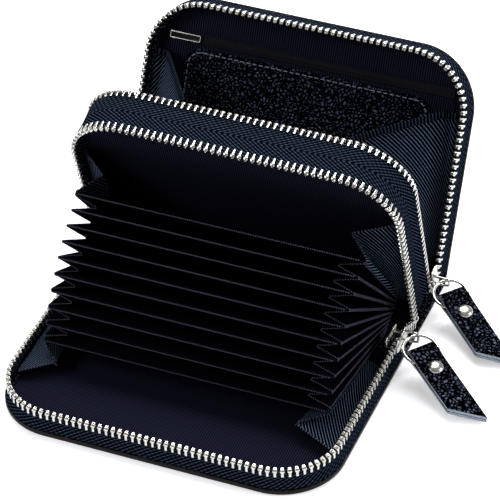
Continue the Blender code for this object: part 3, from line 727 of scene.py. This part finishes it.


# A height above a pleat's lower leaf's fold line, above which the pleat would follow the spine and below it the leaf;
# the loop works out these points but does not use them.
PLEAT_BLEND = 25.5 * MM
PLEAT_BLEND_STEP = 1.35 * MM
reaches = [PLEAT_FROM + (PLEAT_TO - THREAD - PLEAT_FROM) * step / PLEAT_STEPS for step in range(PLEAT_STEPS + 1)]
for label, hand in (("left", -1.0), ("right", 1.0)):
    ridge_x = hand * RIDGE_X
    for k in range(9):
        upper, lower = LEAVES[k], LEAVES[k + 1]
        rows = []
        for reach in reaches + [PLEAT_TO]:
            share = part_way(reach, PLEAT_DEEPENS, PLEAT_FULL)
            a = in_world(upper, ridge_x, reach, -PLEAT_RIDGE_HALF)
            b = in_world(lower, ridge_x, reach, PLEAT_RIDGE_HALF)
            middle = 0.5 * (in_world(upper, 0.0, reach, 0.0) + in_world(lower, 0.0, reach, 0.0))
            middle.x = ridge_x - hand * (PLEAT_SHALLOW + (PLEAT_DEEP - PLEAT_SHALLOW) * eased(share))
            up = in_world(upper, 0.0, reach, 0.25 * MM) - in_world(upper, 0.0, reach, 0.0)
            up *= 0.4 + 0.6 * share
            top, low = (in_world(leaf, ridge_x + hand * PLEAT_RIDGE_OUT, reach, 0.0) for leaf in (upper, lower))
            rows.append([top, a] + [a.lerp(middle + up, s / 4) for s in range(1, 5)]
                        + [(middle - up).lerp(b, s / 4) for s in range(5)] + [low])
        pleat = cloth_grid(f"leaf_gusset_{label}_{k + 1}", rows, GUSSET, leaf_cloth, 0.0, 1, 1)
        end = in_world(lower, 0, 0, 0)
        above = in_world(lower, 0, 0, PLEAT_BLEND + PLEAT_BLEND_STEP * k)
        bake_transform(pleat)
        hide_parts("leaf_gusset_" + label)


def seam(panel, along, low, high=None):
    """The two ends of a seam on a panel, along[0] and along[1] out from its fold line. low and high are
    (across, above) there."""
    return [in_world(panel, across, reach, above) for reach, (across, above) in zip(along, (low, high or low))]


def folded(first, second, fold_x, hem, ledge=()):
    """Rows of a gusset of two panels, with a soft fold between them and a hem this deep along the top.
    first, second and those of ledge, which the cloth goes on over, are seams."""
    rows = []
    top = 1.0 - hem / (first[1] - first[0]).length
    for share in [top * step / 12 for step in range(13)] + [1.0]:
        a, c, *beyond = [low.lerp(high, share) for low, high in (first, second, *ledge)]
        middle = 0.5 * (a + c)
        middle.x = fold_x[0] + (fold_x[1] - fold_x[0]) * share
        apart = (c - a) * (FOLD_HALF / (c - a).length)
        inward = Vector((FOLD_INWARD if a.x < 0 else -FOLD_INWARD, 0, 0))
        near = [a.lerp(middle - apart, s / 8) for s in range(9)]
        far = [(middle + apart).lerp(c, s / 8) for s in range(9)]
        rows.append(near + [middle + inward] + far + beyond)
    return rows


# Past its far edge the back gusset dips and rolls over to the tape: (across, above) low down and at the top.
BACK_LEDGE = [[value * MM for value in row] for row in (
    (53.2, 3.9, 49.1, 6.5), (53.4, 3.5, 49.7, 4.9), (53.6, 3.4, 50.7, 4.2), (53.8, 3.5, 51.8, 4.9),
    (54.0, 3.6, 52.8, 5.1), (54.1, 3.6, 53.6, 4.6), (54.2, 3.6, 54.2, 3.6))]
# The divider gusset's inner edge laps over the ends of leaf 1 and its pleat, where it is sewn: (out, above).
LEAF_LAP = [(out * MM, above * MM) for out, above in ((0.42, 1.6), (0.62, 1.1), (0.62, 0.4), (0.62, -0.3))]
# How far out from its panel's fold line each seam runs.
DIVIDER_ALONG = (6 * MM, 50 * MM)
LEAF_ALONG = (7 * MM, PLEAT_TO)
LAST_LEAF_ALONG = (14 * MM, PLEAT_TO)
FRONT_ALONG = (14 * MM, 57 * MM)
BACK_ALONG = (9 * MM, 57 * MM)
for label, hand, divider_fold, front_fold, back_fold in (("left", -1.0, 44.5 * MM, 43.5 * MM, 32 * MM),
                                                         ("right", 1.0, 41.5 * MM, 40 * MM, 27 * MM)):
    wall_x, leaf_x = hand * GUSSET_WALL_X, hand * LEAF_EDGE_X
    divider_rows = folded(
        seam(DIVIDER, DIVIDER_ALONG, (wall_x, -DIVIDER_SEAM_UP)), seam(LEAVES[0], LEAF_ALONG, (leaf_x, LEAF_SEAM_UP)),
        (hand * DIVIDER_FOLD_FOOT, hand * divider_fold), THREAD,
        [seam(LEAVES[0], LEAF_ALONG, (leaf_x + hand * out, above)) for out, above in LEAF_LAP])
    front_rows = folded(
        seam(LEAVES[9], LAST_LEAF_ALONG, (leaf_x, -LEAF_SEAM_UP)), seam(FRONT, FRONT_ALONG, (wall_x, COVER_SEAM_UP)),
        (hand * FOLD_FOOT, hand * front_fold), THREAD)
    back_rows = folded(
        seam(DIVIDER, BACK_ALONG, (wall_x, DIVIDER_SEAM_UP)),
        seam(BACK, BACK_ALONG, (hand * 53 * MM, -4.2 * MM), (hand * 48.3 * MM, -6.8 * MM)),
        (hand * FOLD_FOOT, hand * back_fold), BACK_HEM,
        [seam(BACK, BACK_ALONG, (hand * low, -low_up), (hand * high, -high_up))
         for low, low_up, high, high_up in BACK_LEDGE])
    near_end = in_world(DIVIDER, 0, 30 * MM, DIVIDER_SEAM_UP)
    far_end = in_world(BACK, 0, 30 * MM, -COVER_SEAM_UP)
    between = 0.5 * (near_end + far_end)
    for name, part, rows, bias, body, start, end, beside in (
            ("divider_gusset", "", divider_rows, 15, "leaf_1_body", (0, 18.6 * MM, 9.1 * MM),
             (0, -7.3 * MM, -3.6 * MM), ["divider_panel_cloth", "leaf_1_cloth"]),
            ("front_gusset", "", front_rows, 40, "front_cover", (0, 6.2 * MM, 37.5 * MM),
             (0, -1.5 * MM, -9.2 * MM), ["leaf_10_cloth", "front_cover_lining_cloth"]),
            ("back_gusset", "_near", [row[:10] for row in back_rows], -28, "divider", between, near_end,
             ["divider_panel_cloth", "back_cover_lining_cloth"]),
            ("back_gusset", "_far", [row[9:] for row in back_rows], -28, "back_cover", between, far_end,
             ["divider_panel_cloth", "back_cover_lining_cloth"])):
        gusset = cloth_grid(f"{name}_cloth_{label}{part}", rows, GUSSET, twill, math.radians(bias), 1)
        if part:
            gusset.data.materials[1] = ribbed_hem
            raise_hem(gusset, BACK_HEM_RAISED, lambda at, way, face: face.material_index == 1)
        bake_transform(gusset)
        if part != "_far":
            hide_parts(f"{name}_{label}")


# Back cover pockets.
# A slip pocket the width of the cover, closed by a small zip along its top, and a lower note pocket of thin
# pebbled leather over it, stitched along its border with a paler thread.

POCKET_FROM = 4.0 * MM
SLIP_HALF = 51.0 * MM
SLIP_TOP = 60.8 * MM
NOTE_HALF = 43.5 * MM
NOTE_TOP = 59.6 * MM
NOTE_CORNER = 6.0 * MM
INNER_HALF = 50.5 * MM
INNER_LOW = SLIP_TOP + CLEAR
INNER_HIGH = INNER_LOW + 3.0 * MM
STRIP_BORDER = 0.9 * MM
STRIP_RIDGE = 0.15 * MM

slip_low = LINING_LOW + LINING + CLEAR
slip = board("slip_pocket_cloth", SLIP_HALF, POCKET_FROM, SLIP_TOP, -slip_low - LINING, -slip_low, 2 * MM, ribbed, 4)
note_low = slip_low + LINING + CLEAR
note = board("note_pocket_hide", NOTE_HALF, POCKET_FROM, NOTE_TOP, -note_low - LINING, -note_low, NOTE_CORNER,
             pebbled, 8, 0.15 * MM)

# The inner zip: two tapes with a dark coil along the slit between them, drawn as one strip with a ribbed ridge.
strip = block("inner_zip_cloth", (-INNER_HALF, -INNER_HIGH, -slip_low - LINING), (INNER_HALF, -INNER_LOW, -slip_low))
editing(strip)
pick(strip, "FACE", lambda at, way, face: way.z < -0.9)
bpy.ops.mesh.inset(thickness=STRIP_BORDER)
pull(-STRIP_RIDGE)
bpy.ops.mesh.bevel(offset=0.1 * MM, segments=2)
done(strip)
unwrap_flat(strip)
# Nylon coil zip: black, with the turns of the coil as fine ribs across it.
coil = material("nylon_coil_zip", 0.6, gloss=0.1)
patterned(coil, wave(coil, "X", 0.8 * MM), 0.1 * MM, 1.0, (0.3, "030305"), (1.0, "12131B"))
strip.data.materials.append(coil)

# Its pull: a bar of zinc in gloss black enamel with a bare nickel lip along its long edges and its end. It lies
# on the strip, as high as the note pocket.
BAR_LEFT = 0.7 * MM - INNER_HALF
BAR_LONG = 11.0 * MM
BAR_INSET = 0.3 * MM
BAR_THICK = 0.8 * MM
BAR_CORNER = 0.5 * MM
BAR_LIP = 0.32 * MM
BAR_TRAY = 0.25 * MM
bar = block("inner_zip_bar", (BAR_LEFT, -INNER_HIGH + BAR_INSET, -note_low - BAR_THICK),
            (BAR_LEFT + BAR_LONG, -INNER_LOW - BAR_INSET, -note_low))
editing(bar)
bevel(bar, "EDGE", lambda at, way, edge: abs(way.z) > 0.9, BAR_CORNER, 4)
pick(bar, "FACE", lambda at, way, face: way.z < -0.9)
bpy.ops.mesh.inset(thickness=BAR_LIP)
pull(BAR_TRAY)
bevel(bar, "EDGE", lambda at, way, edge: edge.calc_face_angle(0.0) > 0.8, 0.08 * MM, 2)
bar.data.materials.append(bright_nickel)
# Black enamel filled into the bar's tray: deep gloss black, very slightly rippled.
enamel = material("black_gloss_enamel", 0.16, gloss=0.15)
patterned(enamel, noise(enamel, 500.0), 0.02 * MM, 1.0, (0.3, "030304"), (0.7, "08080B"))
bar.data.materials.append(enamel)
repaint(bar, lambda at, way, face: way.z < -0.9 and at.z > -note_low - 0.7 * MM)
done(bar)

# Stitches: one short round stitch, copied along the note pocket's border 1.4 mm in.
STITCH_HALF = 0.75 * MM
STITCH_STEP = 2.2 * MM
STITCH_IN = 1.4 * MM
STITCHED_FROM = 30.0 * MM
STITCH_RAISED = 0.06 * MM
stitch = block("stitch", (-STITCH_HALF, -0.16 * MM, -0.1 * MM), (STITCH_HALF, 0.16 * MM, 0.1 * MM))
editing(stitch)
bevel(stitch, "EDGE", lambda at, way, edge: True, 0.08 * MM, 2)
done(stitch, 60)
# Waxed polyester thread, paler than the leather, so that the stitch line shows.
thread = material("waxed_polyester_thread", 0.6)
patterned(thread, noise(thread, 3000.0), 0.05 * MM, 1.0, (0.3, "4A5364"), (0.7, "8A93A4"))
stitch.data.materials.append(thread)

half, top, corner = NOTE_HALF - STITCH_IN, NOTE_TOP - STITCH_IN, NOTE_CORNER - STITCH_IN
border = [Vector((-half, -STITCHED_FROM)), Vector((-half, corner - top))]
border += [Vector((-half + corner * (1 - math.cos(turn)), corner - top - corner * math.sin(turn)))
           for turn in (math.pi * k / 16 for k in range(1, 9))]
border += [Vector((-at.x, at.y)) for at in reversed(border)]
runs = [(k + 0.5) * STITCH_STEP for k in range(round(line_length(border) / STITCH_STEP))]
note_stitches = copied(stitch, stations(border, runs, -note_low - LINING - STITCH_RAISED), "note_pocket_stitches")
bpy.data.objects.remove(stitch)

for piece, node, finish in ((slip, "back_slip_pocket", "nylon_lining"), (note, "back_note_pocket", "nylon_lining"),
                            (strip, "inner_pocket_zip", "zip_tape"), (bar, "inner_pocket_pull", "black_enamel"),
                            (note_stitches, None, "nylon_lining")):
    settle(piece, BACK)
    belong(piece, "back_cover", node)


# Zip ends.
# Past the panels the tapes run on together to the sliders and the bottom stops, as short soft strips that
# join the divider to each cover and carry the last teeth.

END = TAPE_START - CLEAR
ROW_MIDDLE = 1.9 * MM
END_HALF = 0.9 * MM
END_THICK = 0.8 * MM
FIRST_TOOTH = 0.9 * MM
LAST_TOOTH = 0.6 * MM
for label, x in (("left", -WALL_HALF), ("right", WALL_HALF)):
    for side, panel, hand, leave, arrive in (("front", FRONT, 1, 5.5 * MM, 8.0 * MM),
                                             ("rear", BACK, -1, 3.0 * MM, 3.0 * MM)):
        name = f"{side}_zip_end_{label}"
        body = "front_cover" if side == "front" else "back_cover"
        near, far = hand * (ROW_MIDDLE - DIVIDER_TIP), hand * (COVER_TIP - ROW_MIDDLE)
        p0, p1 = in_world(DIVIDER, x, END, near), in_world(DIVIDER, x, END - leave, near)
        p2, p3 = in_world(panel, x, END - arrive, far), in_world(panel, x, END, far)
        line = []
        for t in (step / 24 for step in range(25)):
            line.append((1 - t) ** 3 * p0 + 3 * t * (1 - t) ** 2 * p1 + 3 * t * t * (1 - t) * p2 + t ** 3 * p3)
        rows = []
        for k, at in enumerate(line):
            ahead = (line[min(k + 1, 24)] - line[max(k - 1, 0)]).normalized()
            across = Vector((0, -ahead.z, ahead.y)) * END_HALF
            rows.append([at + across * s for s in (-1, -0.5, 0, 0.5, 1)])
        zip_end = cloth_grid(name + "_cloth", rows, END_THICK, tape_cloth)
        belong(zip_end, body, name)
        places, run = [], FIRST_TOOTH
        while run < line_length(line) - LAST_TOOTH:
            at, ahead = along_line(line, run)
            tip = ahead.cross(Vector((1, 0, 0)))
            if tip.z < 0:
                tip = -tip
            turned = Matrix((ahead, tip.cross(ahead), tip)).transposed()
            places.append(Matrix.LocRotScale(at + ROW_MIDDLE * tip, turned, None))
            run += TOOTH_PITCH
        belong(copied(tooth, places, name + "_teeth"), body)
bpy.data.objects.remove(tooth)


# Sliders.
# Die-cast zinc, nickel plated: two waisted plates that run astride the rows, joined by a post between them,
# with a standing loop for the pull ring. The front loop stands across the rows, the rear one along them.

SLIDER_MIDDLE = 0.825 * MM
PLATE_IN = 1.5 * MM
PLATE_OUT = 2.5 * MM
PLATE_FACE = 2.2 * MM
PLATE_HALF = 2.6 * MM
PLATE_WAIST = 0.75
PLATE_END = 0.72
SLIDER_FROM = 0.5 * MM
SLIDER_TO = 10.0 * MM
POST_FROM = 1.2 * MM
POST_TO = 2.7 * MM
POST_HALF = 0.35 * MM
POST_SUNK = 0.3 * MM
LOOP_REACH = 4.6 * MM
LOOP_SPAN = 2.3 * MM
LOOP_WIRE = 0.85 * MM
LOOP_NECK = 1.2 * MM
LOOP_CORNER = 0.5 * MM


def slider_plate(name, low_x, high_x, height):
    """A plate beside the rows: a block cut into rings, drawn in at its waist and its ends, with round edges."""
    plate = block(name, (low_x, -SLIDER_TO, height - PLATE_HALF), (high_x, -SLIDER_FROM, height + PLATE_HALF))
    editing(plate)
    length = SLIDER_TO - SLIDER_FROM
    for share in (0.14, 0.3, 0.5, 0.7, 0.86):
        cut(-SLIDER_FROM - share * length)
    work = bmesh.from_edit_mesh(plate.data)
    for corner in work.verts:
        share = (-corner.co.y - SLIDER_FROM) / length
        width = 1.0 - (1.0 - PLATE_WAIST) * math.sin(math.pi * share) ** 2 if 0.05 <= share <= 0.95 else PLATE_END
        corner.co.z = height + (corner.co.z - height) * width
    bmesh.update_edit_mesh(plate.data)
    bevel(plate, "EDGE", lambda at, way, edge: edge.calc_face_angle(0.0) > 0.6, 0.28 * MM, 3)
    done(plate, 50)
    return plate


def wire_round(name, points, wire, closed=False):
    """A round wire bent through points."""
    curve = bpy.data.curves.new(name, "CURVE")
    curve.dimensions = "3D"
    curve.bevel_depth = 0.5 * wire
    curve.bevel_resolution = 3
    curve.resolution_u = 6
    curve.use_fill_caps = True
    spline = curve.splines.new("NURBS")
    spline.points.add(len(points) - 1)
    for point, at in zip(spline.points, points):
        point.co = (*at, 1.0)
    spline.order_u = 3
    spline.use_endpoint_u = not closed
    spline.use_cyclic_u = closed
    made = put(name, curve)
    bpy.ops.object.convert(target="MESH")
    made.data.name = name
    bpy.ops.object.shade_smooth()
    return made


# Each slider's panel, the height of its row's tips, and how far out its loop stands.
SLIDERS = (("front", FRONT, COVER_TIP, 2.8 * MM), ("rear", DIVIDER, DIVIDER_TIP, 4.4 * MM))
for label, panel, tip, loop_at in SLIDERS:
    height = tip + SLIDER_MIDDLE
    outer = slider_plate(label + "_slider_outer", WALL_HALF + PLATE_IN, WALL_HALF + PLATE_FACE, height)
    inner = slider_plate(label + "_slider_inner", WALL_HALF - PLATE_OUT, WALL_HALF - PLATE_IN, height)
    post = block(label + "_slider_post", (WALL_HALF - PLATE_IN - POST_SUNK, -POST_TO, height - POST_HALF),
                 (WALL_HALF + PLATE_IN + POST_SUNK, -POST_FROM, height + POST_HALF))
    editing(post)
    bevel(post, "EDGE", lambda at, way, edge: abs(way.x) > 0.9, 0.3 * MM, 3)
    done(post)
    foot = WALL_HALF + PLATE_FACE - 0.35 * MM
    reach = WALL_HALF + PLATE_OUT + LOOP_REACH - 0.5 * LOOP_WIRE
    span = LOOP_SPAN - 0.5 * LOOP_WIRE
    route = [(foot, span), (foot + LOOP_NECK, span), (reach - LOOP_CORNER, span), (reach, 0.7 * span)]
    route = [(x, -s) for x, s in route] + [(reach, 0.0)] + route[::-1]
    route = [(x, s - loop_at, height) if label == "rear" else (x, -loop_at, height + s) for x, s in route]
    loop = wire_round(label + "_slider_loop", route, LOOP_WIRE)
    for piece in (outer, inner, post, loop):
        piece.data.materials.append(bright_nickel)
        settle(piece, panel)
        belong(piece, label + "_slider_body", label + "_slider" if piece == outer else None)


# Pull rings.
# A ring of flattened nickel wire through each slider's loop, its ends butted together.

RING_RADIUS = 5.7 * MM
RING_WIRE = 1.1 * MM
RING_OUT = 4.3 * MM
PULLS = [(*slider, math.radians(yaw), math.radians(pitch))
         for slider, (yaw, pitch) in zip(SLIDERS, ((38.5, 13.2), (40.0, 13.4)))]


def pull_frame(panel, tip, loop_at, yaw, pitch):
    """Where the ring hangs, with x along the pull, y across it and z up through it."""
    ahead = Vector((math.cos(yaw) * math.cos(pitch), -math.sin(yaw) * math.cos(pitch), -math.sin(pitch)))
    across = Vector((math.sin(yaw), math.cos(yaw), 0.0))
    start = in_world(panel, WALL_HALF + RING_OUT, loop_at, tip + SLIDER_MIDDLE)
    turned = Matrix((ahead, across, ahead.cross(across))).transposed()
    return Matrix.LocRotScale(start + RING_RADIUS * ahead, turned, None)


for label, *where in PULLS:
    ring = wire_round(label + "_ring_wire", [
        (-RING_RADIUS * math.cos(turn), RING_RADIUS * math.sin(turn), 0.0)
        for turn in (2 * math.pi * k / 24 for k in range(24))], RING_WIRE, True)
    editing(ring)
    bpy.ops.mesh.select_all(action="SELECT")
    bpy.ops.transform.resize(value=(1.008, 1.008, 0.9))
    done(ring, 60)
    ring.data.transform(pull_frame(*where))
    ring.data.materials.append(bright_nickel)
    belong(ring, label + "_ring_body", label + "_ring")


# Pull tabs.
# A strip of the pebbled cowhide folded double over the ring and pressed flat, so that two layers about 1.2 mm
# thick lie on each other. The far end is cut aslant and the cut edges are left raw.

TAB_HALF = 4.8 * MM
TAB_SHORT = 24.6 * MM
TAB_LONG = 33.0 * MM
TAB_BACK = -0.9 * MM
TAB_COLUMNS = 12
LAYER = 1.2 * MM
LAYER_GAP = 0.12 * MM
RING_HUG = 0.72 * MM
HUG_TO = 0.6 * MM
TAB_PRESSED = 8.2 * MM
EDGE_PRESSED = 0.16 * MM

# The raw edge of drum-dyed leather: fibres of a pale, dusty blue-grey, rough and matt.
raw_edge = material("raw_leather_edge", 0.9, gloss=0.15)
patterned(raw_edge, noise(raw_edge, 2600.0, Detail=5.0, Roughness=0.7), 0.12 * MM, 1.0, (0.3, "565F6A"),
          (0.55, "97A1AC"), (0.75, "C4CBD2"))

# The upper layer from the side, as (along, above) points: its outer face, and its inner face, which goes round
# the ring's wire and then lies on the lower layer.
outer, inner = [], []
for turn in (math.pi * k / 12 for k in range(7)):
    outer.append((TAB_BACK + (RING_HUG + LAYER) * (1 - math.cos(turn)), (RING_HUG + LAYER) * math.sin(turn)))
    inner.append((TAB_BACK + LAYER + RING_HUG * (1 - math.cos(turn)), RING_HUG * math.sin(turn)))
turned_at = TAB_BACK + RING_HUG + LAYER
for distance in (turned_at + (TAB_LONG - turned_at) * k / 34 for k in range(1, 35)):
    high = RING_HUG + (LAYER_GAP - RING_HUG) * eased(part_way(distance, HUG_TO, TAB_PRESSED))
    inner.append((distance, high))
    outer.append((distance, high + LAYER))
profile = outer + inner[::-1]
count, last = len(outer), len(profile) - 1

for label, *where in PULLS:
    rings = []
    for k in range(TAB_COLUMNS + 1):
        across = TAB_HALF * (2 * k / TAB_COLUMNS - 1)
        end = TAB_SHORT + (TAB_LONG - TAB_SHORT) * k / TAB_COLUMNS
        pressed = EDGE_PRESSED if k in (0, TAB_COLUMNS) else 0.0
        rings.append([])
        for j, (d, h) in enumerate(profile):
            if d > TAB_PRESSED:
                d = TAB_PRESSED + (d - TAB_PRESSED) * (end - TAB_PRESSED) / (TAB_LONG - TAB_PRESSED)
            rings[k].append((d, across, h - pressed if j < count else h + pressed))
    work = bmesh.new()
    layers = [[[work.verts.new((d, s, way * h)) for d, s, h in ring] for ring in rings] for way in (1, -1)]
    for k in range(TAB_COLUMNS):
        for j in range(last):
            for layer, way in zip(layers, (1, -1)):
                around = (layer[k][j], layer[k + 1][j], layer[k + 1][j + 1], layer[k][j + 1])
                work.faces.new(around[::way]).material_index = int(j == count - 1)
    for k in (0, TAB_COLUMNS):
        for layer in layers:
            for j in range(count - 1):
                around = (layer[k][j], layer[k][j + 1], layer[k][last - 1 - j], layer[k][last - j])
                work.faces.new(around).material_index = 1
    bmesh.ops.remove_doubles(work, verts=work.verts, dist=0.01 * MM)
    tab = meshed(label + "_pull_tab_hide", work, 40)
    tab.data.materials.append(pebbled)
    tab.data.materials.append(raw_edge)
    tab.data.transform(pull_frame(*where))
    belong(tab, label + "_pull_body", label + "_pull_tab")


# Rivets.
# A domed nickel rivet set through both layers of each tab, with a flat burr on the back.

RIVET_AT = 9.0 * MM
RIVET_HEAD = 2.6 * MM
RIVET_DOME = 1.4 * MM
RIVET_SEAT = LAYER + LAYER_GAP

for label, *where in PULLS:
    for name, way, dome in (("_rivet_head", 1, RIVET_DOME), ("_rivet_back", -1, 0.5 * RIVET_DOME)):
        bpy.ops.mesh.primitive_circle_add(vertices=48, radius=RIVET_HEAD, fill_type="NGON")
        rivet = bpy.context.object
        rivet.name = rivet.data.name = label + name
        editing(rivet)
        bpy.ops.mesh.select_all(action="SELECT")
        pull(0.2 * dome)
        for step in range(8):
            before, turn = math.pi * step / 18, math.pi * (step + 1) / 18
            size = math.cos(turn) / math.cos(before)
            pull(0.8 * dome * (math.sin(turn) - math.sin(before)), size, size)
        done(rivet, 60)
        turned = Matrix.Rotation(0.0 if way > 0 else math.pi, 4, "X")
        rivet.data.transform(pull_frame(*where) @ Matrix.Translation((RIVET_AT, 0, way * RIVET_SEAT)) @ turned)
        rivet.data.materials.append(bright_nickel)
        belong(rivet, label + "_pull_body", label + "_rivet" if way > 0 else None)


# Floor, light and camera.
# A white studio sweep that keeps the wallet's shadow, one large soft box from above the left, two smaller ones,
# and the camera at the photograph's angle.

FLOOR_SIZE = 4.0
FLOOR_GAP = 0.05 * MM
bpy.ops.mesh.primitive_plane_add(size=FLOOR_SIZE, location=(0, 0, -FLOOR_GAP))
floor = bpy.context.object
floor.name = "floor"


def reckoned(made, operation, a, b):
    return add(made, "Math", {"operation": operation}, {0: a, 1: b}).outputs["Value"]


# White background paper. What the camera, metal and gloss see of it is filled up to white away from the
# wallet, and its light on the wallet stays that of the lamps.
paper = material("white_background_paper", 0.9, gloss=0.0)
shader = paper.node_tree.nodes["Principled BSDF"]
shader.inputs["Base Color"].default_value = hexed("F6F6F9")
place = add(paper, "TexCoord", {}, {}).outputs["Object"]
away = add(paper, "VectorMath", {"operation": "LENGTH"}, {0: place}).outputs["Value"]
filled = ranged(paper, away, "SMOOTHSTEP", From_Min=0.08, From_Max=0.3, To_Min=0.4, To_Max=1.0)
ray = add(paper, "LightPath", {}, {}).outputs
seen = reckoned(paper, "MAXIMUM", ray["Is Camera Ray"], ray["Is Glossy Ray"])
seen = reckoned(paper, "MAXIMUM", seen, ray["Is Transmission Ray"])
glow = add(paper, "Emission", {}, {"Color": hexed("FFFFFF"), "Strength": reckoned(paper, "MULTIPLY", seen, filled)})
both = add(paper, "AddShader", {}, {0: shader.outputs["BSDF"], 1: glow.outputs["Emission"]})
paper.node_tree.links.new(both.outputs["Shader"], paper.node_tree.nodes["Material Output"].inputs["Surface"])
floor.data.materials.append(paper)

for name, at, target, size, power, colour in (
        ("key_light", (-0.1, 0.5, 1.0), (0, 0, 0.02), 0.8, 18.0, "FFFFFF"),
        ("side_light", (-0.7, -0.6, 0.7), (0, 0, 0.02), 0.4, 5.0, "F4F8FF"),
        ("right_light", (0.9, 0.2, 0.6), (0, 0, 0.03), 0.4, 5.0, "F2F6FF")):
    light = bpy.data.lights.new(name, "AREA")
    light.shape = "DISK"
    light.size = size
    light.energy = power
    light.color = hexed(colour)[:3]
    lamp = put(name, light)
    lamp.location = at
    lamp.rotation_euler = (Vector(target) - Vector(at)).to_track_quat("-Z", "Y").to_euler()

# The studio's walls are pale up to about head height and its ceiling is dim, which keeps the blacks deep. The
# camera sees plain white.
world = bpy.data.worlds.new("studio")
world.use_nodes = True
bpy.context.scene.world = world
sight = add(world, "TexCoord", {}, {}).outputs["Generated"]
above = add(world, "SeparateXYZ", {}, {"Vector": sight}).outputs["Z"]
walls = ranged(world, above, "SMOOTHSTEP", From_Min=0.15, From_Max=0.5, To_Min=0.65, To_Max=0.33)
ray = add(world, "LightPath", {}, {}).outputs
backdrop = world.node_tree.nodes["Background"]
backdrop.inputs["Color"].default_value = hexed("FFFFFF")
world.node_tree.links.new(reckoned(world, "MAXIMUM", ray["Is Camera Ray"], walls), backdrop.inputs["Strength"])

# The camera was solved from the photograph: its direction, its distance, and its lens in the photograph's pixels.
PHOTO_PIXELS = 500
FOCAL_PIXELS = 3335.6
MIDDLE_X, MIDDLE_Y = 242.27, 314.46
CAMERA_DISTANCE = 1.0921
azimuth, elevation, roll = (math.radians(angle) for angle in (23.76, 40.59, -2.26))
aim = Vector((0, FRONT[0], 0))
back = Vector((math.sin(azimuth) * math.cos(elevation), -math.cos(azimuth) * math.cos(elevation),
               math.sin(elevation)))
right = Vector((math.cos(azimuth), math.sin(azimuth), 0))
up = back.cross(right)
right, up = math.cos(roll) * right + math.sin(roll) * up, math.cos(roll) * up - math.sin(roll) * right
lens = bpy.data.cameras.new("camera")
lens.sensor_width = 36.0
lens.lens = FOCAL_PIXELS * lens.sensor_width / PHOTO_PIXELS
lens.shift_x = (PHOTO_PIXELS / 2 - MIDDLE_X) / PHOTO_PIXELS
lens.shift_y = (MIDDLE_Y - PHOTO_PIXELS / 2) / PHOTO_PIXELS
lens.clip_start = 0.05
lens.clip_end = 10.0
camera = put("camera", lens)
camera.matrix_world = Matrix.LocRotScale(aim + back * CAMERA_DISTANCE, Matrix((right, up, back)).transposed(), None)
bpy.context.scene.camera = camera
bpy.context.scene.view_settings.view_transform = "Standard"
